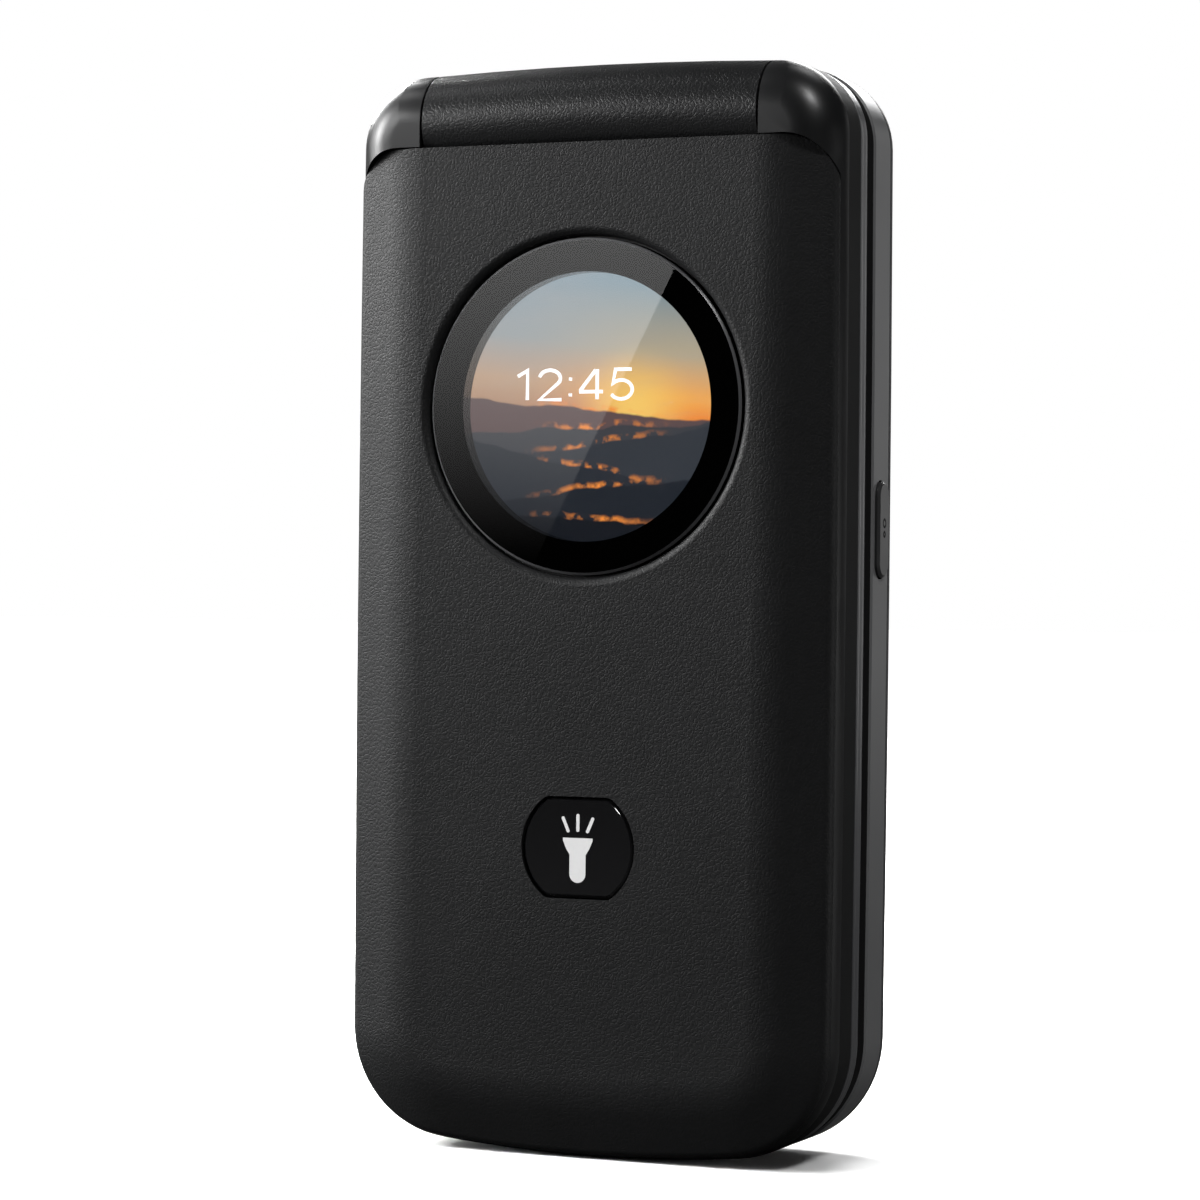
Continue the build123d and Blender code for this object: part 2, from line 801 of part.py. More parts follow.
def base_rear_housing():
    """Deep tub with the side walls, the battery bay and pockets for the electronics."""
    shape = slab(base_outline(), base_rim, back_seam)
    shape = chamfer(front_edges(shape), seam_chamfer)
    shape = shape - slab(base_outline(base_wall), base_rim, board_back)
    shape = shape + eye_rim(camera_x, camera_glass_radius) + eye_rim(torch_led_x, led_lens_radius)
    for pocket in tub_pockets():
        shape = shape - pocket
    for x, z in base_screw_places():
        shape = shape - disc(x, z, screw_radius + screw_play, board_back, back_seam)
        shape = shape - disc(x, z, screw_head_radius + screw_play, back_seam - base_screw_sink, back_seam)
    right = side_key_outline(side_key_height, side_key_tall, side_key_gap)
    left = side_key_outline(rocker_height, rocker_tall, side_key_gap)
    shape = shape - across(right, wall_inner - 1, width) - across(left, -width, 1 - wall_inner)
    return shape


def eye_rim(x, glass_radius):
    """Round rim that carries a rear lens through the back cover."""
    return disc(x, camera_height, glass_radius + panel_fit + eye_wall, back_seam, depth - eye_proud)


def tub_pockets():
    """Everything that is hollowed out of the tub behind the main board."""
    bay = plate(0, battery_middle, battery_wide + 2 * bay_fit, battery_tall + 2 * bay_fit,
                battery_corner, bay_front, back_seam)
    contact = block(contact_x, contact_height, contact_width + 2 * pocket_fit,
                    contact_tall + 2 * pocket_fit, board_back, back_seam)
    shield = block(shield_x, shield_height, shield_width + 2 * pocket_fit, shield_tall + 2 * pocket_fit,
                   board_back, board_back + shield_thick + pocket_fit)
    sim = block(shield_x, shield_height, sim_width + 2 * pocket_fit, sim_tall + 2 * pocket_fit,
                sim_front(), back_seam)
    speaker_hole = plate(speaker_x, speaker_height, speaker_width + 2 * pocket_fit,
                         speaker_tall + 2 * pocket_fit, speaker_corner, board_back, back_seam)
    motor = disc(motor_x, motor_height, motor_radius + pocket_fit, board_back,
                 board_back + motor_thick + pocket_fit)
    mic = block(mic_x, mic_height, mic_wide + 2 * pocket_fit, mic_wide + 2 * pocket_fit, board_back,
                board_back + mic_thick + pocket_fit)
    mic_y = board_back + mic_thick / 2 - depth / 2
    mic_duct = Pos(mic_x, mic_y, mic_height / 2) * Cylinder(mic_hole, mic_height + 1)
    port = block(0, port_length / 2, port_width + 2 * port_fit, port_length + 2 * port_fit,
                 port_front - port_fit, port_front + port_tall + port_fit)
    pockets = [bay, contact, shield, sim, speaker_hole, motor, mic, mic_duct, port]
    pockets += [side_key_room(1, side_key_height, side_key_tall),
                side_key_room(-1, rocker_height, rocker_tall)]
    camera_seat = depth - eye_proud - camera_glass_thick
    eyes = [(camera_x, camera_side, camera_lens_radius), (torch_led_x, led_side, led_lens_radius)]
    for x, side, radius in eyes:
        body = side + 2 * pocket_fit
        pockets.append(block(x, camera_height, body, body, board_back, board_back + camera_body))
        pockets.append(disc(x, camera_height, radius + pocket_fit, board_back, depth))
    pockets.append(disc(camera_x, camera_height, camera_glass_radius + panel_fit, camera_seat, depth))
    return pockets


def sim_front():
    return board_back + shield_thick + pocket_fit + sim_floor


def back_cover():
    """Battery cover with its rolled edge, lens openings and speaker slots."""
    shape = slab(base_outline(), back_seam, depth)
    shape = fillet(back_edges(shape), back_round)
    shape = chamfer(front_edges(shape), seam_chamfer)
    shape = shape - slab(base_outline(back_rim), back_seam, back_inner)
    for x, radius in ((camera_x, camera_glass_radius), (torch_led_x, led_lens_radius)):
        rim = radius + panel_fit + eye_wall + eye_gap
        shape = shape - disc(x, camera_height, rim, back_inner, depth)
    for slot in range(grille_slots):
        z = speaker_height + (slot - (grille_slots - 1) / 2) * grille_pitch
        shape = shape - plate(speaker_x, z, grille_wide, grille_slot, grille_slot / 2 - round_trim,
                              back_inner, depth)
    return shape


# ---- keypad ----
def key_places():
    """Place and size of each key that slides straight in."""
    places = {"soft_left_key": (-soft_x, nav_height, soft_wide, soft_tall),
              "soft_right_key": (soft_x, nav_height, soft_wide, soft_tall)}
    rows = [["key_star", "key_0", "key_hash"], ["key_7", "key_8", "key_9"],
            ["key_4", "key_5", "key_6"], ["key_1", "key_2", "key_3"],
            ["call_key", "clear_key", "end_key"]]
    for row, names in enumerate(rows):
        for column, name in enumerate(names):
            x = (column - 1) * key_column
            places[name] = (x, first_row + row * key_row, key_wide, key_tall)
    return places


def key_hole(x, z, wide, tall):
    return plate(x, z, wide + 2 * key_gap, tall + 2 * key_gap, key_corner + key_gap, keypad_face,
                 keypad_back)


def key(x, z, wide, tall):
    """Key cap with a lip that holds it under the plateau and a stem over its dome."""
    cap = plate(x, z, wide, tall, key_corner, keypad_face - key_proud, lip_front)
    cap = chamfer(front_edges(cap), key_chamfer)
    lip = chamfer(Rectangle(wide + 2 * key_lip, tall + 2 * key_lip).vertices(), key_lip_corner)
    stem = block(x, z, 2 * key_stem_radius, 2 * key_stem_radius, stem_front, stem_back)
    return cap + slab(Pos(x, z) * lip, lip_front, stem_front) + stem


def nav_nubs(front, places):
    return [disc(x, nav_height + z, key_stem_radius, front, nav_nub_back) for x, z in places]


def nav_ring():
    """Four-way ring that rocks sideways on the pad's ridge, with a nub at its left and right."""
    shape = disc(0, nav_height, nav_radius, keypad_face - key_proud, nav_lip_front)
    shape = chamfer(front_edges(shape), nav_chamfer)
    shape = shape + disc(0, nav_height, nav_radius + key_lip, nav_lip_front, nav_pad_front)
    shape = shape - disc(0, nav_height, nav_bore, 0, depth)
    shape = shape - disc(0, nav_height, nav_pad_bore, ok_lip_front - ok_lip_thick, nav_pad_front)
    return shape + nav_nubs(nav_pad_front, [(-nav_nub_ring, 0), (nav_nub_ring, 0)])


def nav_pad():
    """Rocker plate under the ring: a shallow ridge on its front, a nub at its head and foot."""
    front = nav_pad_front - depth / 2
    back = front + nav_pad_thick
    fall = nav_radius * tan(radians(nav_tilt)) + seat_fit
    corners = [(-nav_radius, front + fall), (0, front), (nav_radius, front + fall),
               (nav_radius, back), (-nav_radius, back)]
    section = Pos(0, 0, nav_height - nav_radius) * make_face(Polyline(*corners, close=True))
    shape = extrude(section, amount=2 * nav_radius, dir=(0, 0, 1))
    shape = shape & disc(0, nav_height, nav_radius, 0, depth)
    shape = shape - disc(0, nav_height, nav_pad_bore, 0, depth)
    shape = shape - block(0, nav_height, 3 * nav_radius, 2 * nav_notch, 0, depth)
    halves = shape + nav_web()
    return halves + nav_nubs(nav_pad_front + nav_pad_thick, [(0, -nav_nub_ring), (0, nav_nub_ring)])


def nav_web():
    """Thin hoop that joins the two halves of the rocker plate behind the ring's lip."""
    outer = disc(0, nav_height, nav_radius, 0, depth)
    hoop = outer - disc(0, nav_height, nav_nub_ring + key_stem_radius + nav_hoop_gap, 0, depth)
    back = nav_pad_front + nav_pad_thick
    return layer(hoop, back - nav_hoop_thick, back)


def ok_key():
    cap = disc(0, nav_height, ok_radius, keypad_face - key_proud, ok_lip_front)
    cap = chamfer(front_edges(cap), key_chamfer)
    cap = cap + disc(0, nav_height, ok_radius + ok_lip, ok_lip_front, ok_lip_front + ok_lip_thick)
    return cap + disc(0, nav_height, key_stem_radius, ok_lip_front + ok_lip_thick, stem_back)


def dome_places():
    """A dome under each sliding key, the OK key and the four nubs of the ring."""
    nubs = [(-nav_nub_ring, 0), (nav_nub_ring, 0), (0, -nav_nub_ring), (0, nav_nub_ring), (0, 0)]
    places = [(x, z) for x, z, wide, tall in key_places().values()]
    return places + [(x, nav_height + z) for x, z in nubs]


def dome_sheet():
    """Film with a snap dome under each key."""
    shape = slab(cavity_outline(key_gap), sheet_front, board_front)
    for x, z in dome_places():
        base = Plane(origin=(x, sheet_front - depth / 2, z), x_dir=(1, 0, 0), z_dir=(0, -1, 0))
        dome = extrude(base * RegularPolygon(dome_radius, 8), amount=dome_height, taper=dome_taper)
        shape = shape + dome
    return shape


# ---- base electronics ----
def main_board():
    """Board across the whole base, with the battery's contact block."""
    shape = slab(base_outline(board_inset), board_front, board_back)
    shape = shape - block(0, 0, port_width, 2 * port_length, board_front, board_back)
    for x, z in base_screw_places():
        shape = shape - disc(x, z, screw_radius + board_hole_play, board_front, board_back)
    return shape + block(contact_x, contact_height, contact_width, contact_tall, board_back,
                         board_back + contact_thick)


def battery():
    return plate(0, battery_middle, battery_wide, battery_tall, battery_corner, bay_front,
                 back_inner - battery_play)


def shield_can():
    shape = block(shield_x, shield_height, shield_width, shield_tall, board_back,
                  board_back + shield_thick)
    return chamfer(back_edges(shape), shield_chamfer)


def sim_holder():
    """Sheet-metal tray with a slot for the card."""
    front = sim_front()
    shape = block(shield_x, shield_height, sim_width, sim_tall, front, front + sim_thick)
    return shape - block(shield_x, shield_height + sim_lip, sim_width - 2 * sim_wall, sim_tall,
                         front + sim_sheet_front, front + sim_thick - sim_sheet_back)


def antenna():
    wide = width - 2 * antenna_side
    return plate(0, length - antenna_drop, wide, antenna_tall, 1, back_seam, back_seam + antenna_thick)


def speaker():
    shape = plate(speaker_x, speaker_height, speaker_width, speaker_tall, speaker_corner, board_back,
                  back_inner - speaker_play)
    return chamfer(back_edges(shape), speaker_chamfer)


def vibration_motor():
    return disc(motor_x, motor_height, motor_radius, board_back, board_back + motor_thick)


def microphone():
    return block(mic_x, mic_height, mic_wide, mic_wide, board_back, board_back + mic_thick)


def charge_port():
    """Charging socket, open at the foot, with its contact tongue."""
    middle = foot_bow / 2 + port_length / 2
    shell = block(0, middle, port_width, port_length - foot_bow, port_front, port_front + port_tall)
    room = block(0, middle - port_back_wall, port_width - 2 * port_wall, port_length,
                 port_front + port_wall, port_front + port_tall - port_wall)
    tongue_front = port_front + port_tall / 2
    tongue = block(0, middle + port_tongue_drop / 2, port_width / 2,
                   port_length - foot_bow - port_tongue_drop, tongue_front, tongue_front + port_tongue)
    return shell - room + tongue


def rear_eye(x, side, radius, back):
    """Square module on the board with a round lens barrel."""
    body = block(x, camera_height, side, side, board_back, board_back + camera_body)
    return body + disc(x, camera_height, radius, board_back + camera_body, back)


def camera_module():
    return rear_eye(camera_x, camera_side, camera_lens_radius, depth - eye_proud - camera_glass_thick)


def torch_led():
    return rear_eye(torch_led_x, led_side, led_lens_radius, depth - eye_proud)


def camera_window():
    front = depth - eye_proud - camera_glass_thick
    return disc(camera_x, camera_height, camera_glass_radius, front, depth - eye_proud)


def base_screws():
    head_front = back_seam - base_screw_sink
    return Compound([screw(x, z, head_front, keypad_back) for x, z in base_screw_places()])


# ---- side keys ----
def side_key_solid(side, height, tall):
    """Key through the side wall, rounded at its ends."""
    outline = side_key_outline(height, tall)
    start = wall_inner - key_clear
    bar = across(outline, start, key_face) if side > 0 else across(outline, -key_face, -start)
    outer = bar.faces().sort_by(Axis.X)[-1 if side > 0 else 0]
    return chamfer(outer.edges(), side_key_chamfer)


def side_key():
    height, tall = side_key_height, side_key_tall
    y = side_key_depth - depth / 2
    lip = Pos(y, height) * Rectangle(side_key_thick, tall + 2 * side_key_lip)
    return side_key_solid(1, height, tall) + across(lip, key_back, wall_inner - key_clear)


def volume_rocker():
    """Rocker that tips about the ears at the middle of its inner side."""
    outline = side_key_outline(rocker_height, rocker_tall)
    y = side_key_depth - depth / 2
    room = back_seam - base_rim - 2 * side_room_wall
    ears = Pos(y, rocker_height) * Rectangle(room - 2 * key_clear, rocker_ear)
    inner = across(outline, key_clear - wall_inner, -key_back)
    inner = inner + across(ears, key_clear - wall_inner, -key_back)
    return side_key_solid(-1, rocker_height, rocker_tall) + inner


def side_switches():
    """One switch behind the side key and one behind each end of the rocker."""
    outer = key_back - side_key_travel - key_clear
    places = [(1, side_key_height), (-1, rocker_height - rocker_tall / 4),
              (-1, rocker_height + rocker_tall / 4)]
    switches = []
    for side, z in places:
        x = side * (outer - side_switch_wide / 2)
        switches.append(block(x, z, side_switch_wide, side_switch_tall, board_back,
                              board_back + side_switch_thick))
    return Compound(switches)


# ---- every node ----
nodes = {
    "lid_cover": lid_cover, "lid_frame": lid_frame, "lid_bezel": lid_bezel,
    "outer_glass": outer_glass, "lens_ring": lens_ring, "outer_display": outer_display,
    "lid_board": lid_board, "torch_button": torch_button, "inner_display": inner_display,
    "inner_window": inner_window, "receiver": receiver, "receiver_mesh": receiver_mesh,
    "lid_magnet": lid_magnet, "lid_screws": lid_screws, "lid_bumpers": lid_bumpers,
    "hinge_cam_head": hinge_cam_head, "hinge_pivot": hinge_pivot,
    "hinge_cartridge": hinge_cartridge, "hinge_flex": hinge_flex, "barrel_cover": barrel_cover,
    "base_front_housing": base_front_housing, "base_rear_housing": base_rear_housing,
    "back_cover": back_cover, "nav_ring": nav_ring, "nav_pad": nav_pad, "ok_key": ok_key,
    "dome_sheet": dome_sheet, "main_board": main_board, "battery": battery,
    "shield_can": shield_can, "sim_holder": sim_holder, "antenna": antenna, "speaker": speaker,
    "vibration_motor": vibration_motor, "microphone": microphone, "charge_port": charge_port,
    "camera_module": camera_module, "torch_led": torch_led, "camera_window": camera_window,
    "base_screws": base_screws, "side_key": side_key, "volume_rocker": volume_rocker,
    "side_switches": side_switches,
}

os.makedirs("parts", exist_ok=True)
for name, build in nodes.items():
    export_step(build(), f"parts/{name}.step")
for name, place in key_places().items():
    export_step(key(*place), f"parts/{name}.step")
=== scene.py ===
"""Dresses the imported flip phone: its finishes, printed marks, light and camera."""

import json
import logging
import math
from collections.abc import Callable
from dataclasses import dataclass
from enum import Enum

import bmesh
import bpy
from mathutils import Matrix, Vector


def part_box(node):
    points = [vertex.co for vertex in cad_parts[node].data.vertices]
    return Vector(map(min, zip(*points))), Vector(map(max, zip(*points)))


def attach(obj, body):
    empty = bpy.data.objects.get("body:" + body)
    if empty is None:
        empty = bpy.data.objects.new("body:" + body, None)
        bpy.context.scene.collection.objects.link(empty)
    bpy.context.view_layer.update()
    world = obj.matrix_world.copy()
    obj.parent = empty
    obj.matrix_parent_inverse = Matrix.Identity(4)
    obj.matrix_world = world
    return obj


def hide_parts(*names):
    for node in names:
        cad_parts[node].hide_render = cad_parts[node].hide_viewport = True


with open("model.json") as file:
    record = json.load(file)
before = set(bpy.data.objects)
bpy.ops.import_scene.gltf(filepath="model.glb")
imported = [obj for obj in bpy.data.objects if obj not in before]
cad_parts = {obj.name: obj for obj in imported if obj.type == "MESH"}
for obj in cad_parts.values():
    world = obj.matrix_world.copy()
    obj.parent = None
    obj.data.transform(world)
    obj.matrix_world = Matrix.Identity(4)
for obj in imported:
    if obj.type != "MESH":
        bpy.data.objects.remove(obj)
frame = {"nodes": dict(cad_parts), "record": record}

LOG = logging.getLogger("flip_phone")
MM = 0.001
FRONT = 9.6                     # millimetres from the middle of the depth to the lid's front
WELD = 0.002                    # millimetres within which a CAD mesh's points are one
FLAT = 0.05                     # degrees within which its triangles are one face
SHARP = 28.0                    # degrees past which an edge stays sharp
SHELL_SHARP = 35.0              # the same, on the large rounded pieces
INK_THICK = 0.02                # millimetres
ENDS_MEET = 1e-6                # millimetres within which a path's ends are one
MITRE_LEAST = 0.6               # least cosine that widens a band at a corner

Pair = tuple[float, float]
Triple = tuple[float, float, float]
Path = list[Pair]
Stops = tuple[tuple[float, Triple], ...]
Form = bmesh.types.BMesh
Piece = bpy.types.Object
Tree = bpy.types.NodeTree
Node = bpy.types.Node
Socket = bpy.types.NodeSocket
Sockets = bpy.types.bpy_prop_collection


class Grain(Enum):
    """How a moulded or rolled surface is grained, by the name of its shader group."""

    LEATHER = "leather grain"
    SPARK = "spark texture"
    BRUSHED = "brushed lines"


class Facing(Enum):
    """Which way a field of studs faces, as a turn about X in degrees."""

    FRONT = 90.0
    BACK = -90.0


def depth_y(depth: float) -> float:
    """Y in metres of a depth behind the lid's front in millimetres."""
    return (depth - FRONT) * MM


def depth_of(y: float) -> float:
    """Depth behind the lid's front in millimetres of a Y in metres."""
    return y / MM + FRONT


def middle_of(node: str) -> Triple:
    """Middle of a CAD node.

    Args:
        node: the node's name.

    Returns:
        Its (x, depth behind the lid's front, z) in millimetres.
    """
    low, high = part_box(node)
    middle = (Vector(low) + Vector(high)) / 2
    return (middle.x / MM, depth_of(middle.y), middle.z / MM)


def link(name: str, data: bpy.types.ID) -> Piece:
    """Adds an object to the scene.

    Args:
        name: the object's name.
        data: its mesh, lamp or camera.

    Returns:
        The object.
    """
    thing = bpy.data.objects.new(name, data)
    bpy.context.scene.collection.objects.link(thing)
    return thing


def settle(piece: Piece, modifier: bpy.types.Modifier) -> None:
    """Turns a piece and its one modifier into a plain mesh.

    Args:
        piece: the piece.
        modifier: its modifier, which is removed.
    """
    piece.update_tag()
    sight = bpy.context.evaluated_depsgraph_get()
    mesh = bpy.data.meshes.new_from_object(piece.evaluated_get(sight))
    mesh.name = piece.name
    piece.modifiers.remove(modifier)
    piece.data = mesh


class NodeSheet:
    """A node tree with short ways to add, fill and join nodes."""

    mix_colours = (6, 7)        # a Mix node's colour inputs, whose names its other kinds share
    mix_result = 2              # and its colour output

    def __init__(self, tree: Tree) -> None:
        """Keeps a material's, world's or group's node tree."""
        self.tree = tree

    def add(self, kind: str, **inputs: object) -> Node:
        """Adds a node and fills its inputs.

        Args:
            kind: the node's type name.
            inputs: plain values or output sockets by input name, spaces as underscores.

        Returns:
            The new node.
        """
        node = self.tree.nodes.new(kind)
        self.fill(node, **inputs)
        return node

    def fill(self, node: Node, **inputs: object) -> None:
        """Fills a node's inputs, which are given as for add."""
        for key, value in inputs.items():
            self.feed(value, node.inputs[key.replace("_", " ")])

    def feed(self, value: object, socket: Socket) -> None:
        """Links an output to an input, or sets a plain value.

        Args:
            value: an output socket or a plain value; a colour needs no alpha.
            socket: the input to fill.
        """
        if isinstance(value, Socket):
            self.tree.links.new(value, socket)
        else:
            socket.default_value = (*value, 1.0) if socket.type == "RGBA" else value

    def maths(self, operation: str, first: object, second: object = 0.0) -> Socket:
        """Adds a Math node.

        Args:
            operation: the Math node's operation.
            first: first value or socket.
            second: second value or socket.

        Returns:
            The result.
        """
        node = self.tree.nodes.new("ShaderNodeMath")
        node.operation = operation
        self.feed(first, node.inputs[0])
        self.feed(second, node.inputs[1])
        return node.outputs[0]

    def reach(self, across: Socket, along: Socket) -> Socket:
        """Distance that two runs at a right angle make."""
        squares = [self.maths("MULTIPLY", run, run) for run in (across, along)]
        return self.maths("SQRT", self.maths("ADD", *squares))

    def blend(self, factor: object, first: object, second: object) -> Socket:
        """Mixes two colours.

        Args:
            factor: share of the second colour.
            first: first colour or socket.
            second: second colour or socket.

        Returns:
            The mixed colour.
        """
        node = self.tree.nodes.new("ShaderNodeMix")
        node.data_type = "RGBA"
        self.feed(factor, node.inputs["Factor"])
        for value, place in zip((first, second), self.mix_colours):
            self.feed(value, node.inputs[place])
        return node.outputs[self.mix_result]

    def span(self, value: object, inlet: Pair = (0.0, 1.0), outlet: Pair = (0.0, 1.0),
             smooth: bool = False) -> Socket:
        """Maps one range onto another and holds the result inside it.

        Args:
            value: value or socket.
            inlet: ends of the range it comes from.
            outlet: ends of the range it goes to.
            smooth: whether it eases in and out.

        Returns:
            The result.
        """
        node = self.add("ShaderNodeMapRange", Value=value, From_Min=inlet[0], From_Max=inlet[1],
                        To_Min=outlet[0], To_Max=outlet[1])
        if smooth:
            node.interpolation_type = "SMOOTHSTEP"
        return node.outputs["Result"]

    def noise(self, place: Socket, scale: object, detail: float) -> Socket:
        """Noise between 0 and 1, whose scale is by the coordinates' unit and detail its finer layers."""
        return self.add("ShaderNodeTexNoise", Vector=place, Scale=scale, Detail=detail).outputs["Fac"]

    def place(self) -> Socket:
        """Object coordinates, in metres."""
        return self.add("ShaderNodeTexCoord").outputs["Object"]

    def split(self, vector: Socket) -> Sockets:
        """Parts X, Y and Z of a vector."""
        return self.add("ShaderNodeSeparateXYZ", Vector=vector).outputs

    def group(self, tree: Tree, **inputs: object) -> Sockets:
        """Places a node group.

        Args:
            tree: the group.
            inputs: as for add.

        Returns:
            The group's outputs.
        """
        node = self.tree.nodes.new("ShaderNodeGroup")
        node.node_tree = tree
        self.fill(node, **inputs)
        return node.outputs


class ShaderGroups:
    """Shader node groups that several finishes share, each built once."""

    @classmethod
    def get(cls, name: str, *inputs: str) -> Tree:
        """Gives a group, which is built the first time that it is asked for.

        Args:
            name: the group's name.
            inputs: names of its number inputs, after the one for coordinates.

        Returns:
            The group.
        """
        if name in bpy.data.node_groups:
            return bpy.data.node_groups[name]
        tree = bpy.data.node_groups.new(name, "ShaderNodeTree")
        tree.interface.new_socket("Vector", in_out="INPUT", socket_type="NodeSocketVector")
        for key in inputs:
            tree.interface.new_socket(key, in_out="INPUT", socket_type="NodeSocketFloat")
        sheet = NodeSheet(tree)
        makers = {Grain.LEATHER.value: cls.leather_grain, Grain.SPARK.value: cls.spark_texture,
                  Grain.BRUSHED.value: cls.brushed_lines, "hill line": cls.hill_line}
        results = makers[name](sheet, sheet.add("NodeGroupInput").outputs)
        for key in results:
            tree.interface.new_socket(key, in_out="OUTPUT", socket_type="NodeSocketFloat")
        sheet.add("NodeGroupOutput", **results)
        return tree

    @staticmethod
    def leather_grain(sheet: NodeSheet, source: Sockets) -> dict[str, Socket]:
        """Fine leather grain: rounded cells with creases between them, the creases darker in tint as painted
        shade.

        Args:
            sheet: the group's sheet.
            source: its inputs, of which Size is a cell's in millimetres.

        Returns:
            Its Height, Tint and Rough outputs.
        """
        place = source["Vector"]
        bend, crease_wide, pore_depth = 0.0006, 0.22, 0.55
        warp = sheet.add("ShaderNodeTexNoise", Vector=place, Scale=700.0, Detail=2.0).outputs["Color"]
        shift = sheet.tree.nodes.new("ShaderNodeVectorMath")
        shift.operation = "MULTIPLY_ADD"
        for value, socket in zip((warp, (bend, bend, bend), place), shift.inputs):
            sheet.feed(value, socket)
        cells = sheet.add("ShaderNodeTexVoronoi", Vector=shift.outputs[0],
                          Scale=sheet.maths("DIVIDE", 1 / MM, source["Size"]))
        cells.feature = "DISTANCE_TO_EDGE"
        crease = sheet.span(cells.outputs["Distance"], (0.0, crease_wide), smooth=True)
        fine = sheet.noise(place, scale=4200.0, detail=3.0)
        broad = sheet.noise(place, scale=60.0, detail=2.0)
        return {
            "Height": sheet.maths("ADD", crease, sheet.maths("MULTIPLY", fine, pore_depth)),
            # the creases lower the tint to 0.82: painted shade in them
            "Tint": sheet.maths("MULTIPLY", broad, sheet.span(crease, outlet=(0.82, 1.0))),
            "Rough": sheet.maths("ADD", sheet.maths("MULTIPLY", fine, 0.5),
                                 sheet.maths("MULTIPLY", broad, 0.5)),
        }

    @staticmethod
    def spark_texture(sheet: NodeSheet, source: Sockets) -> dict[str, Socket]:
        """Even spark-eroded texture of moulded plastic.

        Args:
            sheet: the group's sheet.
            source: its inputs, of which Size is a pit's in millimetres.

        Returns:
            Its Height, Tint and Rough outputs.
        """
        scale = sheet.maths("DIVIDE", 1 / MM, source["Size"])
        pits = sheet.noise(source["Vector"], scale, detail=3.0)
        broad = sheet.noise(source["Vector"], scale=90.0, detail=3.0)
        return {"Height": pits, "Tint": broad, "Rough": broad}

    @staticmethod
    def brushed_lines(sheet: NodeSheet, source: Sockets) -> dict[str, Socket]:
        """Fine lines of brushed or drawn metal, across X.

        Args:
            sheet: the group's sheet.
            source: its inputs, of which Size is a line's width in millimetres.

        Returns:
            Its Height, Tint and Rough outputs.
        """
        scale = sheet.maths("DIVIDE", 1 / MM, source["Size"])
        stretch = sheet.add("ShaderNodeMapping", Vector=source["Vector"], Scale=(0.03, 1.0, 1.0))
        lines = sheet.noise(stretch.outputs[0], scale, detail=2.0)
        broad = sheet.noise(source["Vector"], scale=250.0, detail=2.0)
        return {"Height": lines, "Tint": lines, "Rough": broad}

    @staticmethod
    def hill_line(sheet: NodeSheet, source: Sockets) -> dict[str, Socket]:
        """One rolling line of hills in a picture.

        Args:
            sheet: the group's sheet.
            source: its inputs, which are a Ridge's values and Softness.

        Returns:
            Its Mask output, which is 1 below the line.
        """
        split = sheet.split(source["Vector"])
        run = sheet.add("ShaderNodeCombineXYZ", X=split["X"], Y=source["Seed"]).outputs[0]
        wave = sheet.maths("SUBTRACT", sheet.noise(run, source["Pitch"], detail=5.0), 0.5)
        line = sheet.maths("ADD", source["Level"], sheet.maths("MULTIPLY", wave, source["Swing"]))
        line = sheet.maths("ADD", line, sheet.maths("MULTIPLY", split["X"], source["Tilt"]))
        below = sheet.maths("DIVIDE", sheet.maths("SUBTRACT", line, split["Z"]), source["Softness"])
        return {"Mask": sheet.span(below, (-0.5, 0.5))}


class MaterialSheet(NodeSheet):
    """The sheet of a new material, with a Principled shader joined to its output."""

    def __init__(self, name: str) -> None:
        """Makes the material.

        Args:
            name: the material's name.
        """
        self.material = bpy.data.materials.new(name)
        self.material.use_nodes = True
        super().__init__(self.material.node_tree)
        self.tree.nodes.clear()
        self.shader = self.add("ShaderNodeBsdfPrincipled")
        self.add("ShaderNodeOutputMaterial", Surface=self.shader.outputs[0])

    def shade(self, **inputs: object) -> None:
        """Fills the shader's inputs, which are given as for add."""
        self.fill(self.shader, **inputs)


@dataclass(frozen=True)
class Finish:
    """A surface's named material."""

    name: str

    def material(self) -> bpy.types.Material:
        """Gives the material, which is built the first time that it is asked for.

        Returns:
            The material.
        """
        if self.name not in bpy.data.materials:
            self.lay(MaterialSheet(self.name))
        return bpy.data.materials[self.name]

    def lay(self, sheet: MaterialSheet) -> None:
        """Lays the finish on a new material's sheet, each kind in its own way."""
        raise NotImplementedError


@dataclass(frozen=True)
class GrainedFinish(Finish):
    """A plastic, rubber or metal surface with a fine grain; sizes in millimetres."""

    colour: Triple
    roughness: float
    grain: Grain = Grain.SPARK
    grain_size: float = 0.12
    bump: float = 0.12
    bump_depth: float = 0.01
    tint: float = 0.12
    rough_swing: float = 0.06
    metallic: float = 0.0
    specular: float = 0.5

    def lay(self, sheet: MaterialSheet) -> None:
        """Lays the colour and the grain.

        Args:
            sheet: the material's sheet.
        """
        group = sheet.group(ShaderGroups.get(self.grain.value, "Size"), Vector=sheet.place(),
                            Size=self.grain_size)
        dark = tuple(c * (1 - self.tint) for c in self.colour)
        light = tuple(min(1.0, c * (1 + self.tint)) for c in self.colour)
        swing = (self.roughness - self.rough_swing, self.roughness + self.rough_swing)
        bump = sheet.add("ShaderNodeBump", Strength=self.bump, Distance=self.bump_depth * MM,
                         Height=group["Height"])
        sheet.shade(Base_Color=sheet.blend(group["Tint"], dark, light),
                    Roughness=sheet.span(group["Rough"], outlet=swing), Normal=bump.outputs[0],
                    Metallic=self.metallic, Specular_IOR_Level=self.specular)


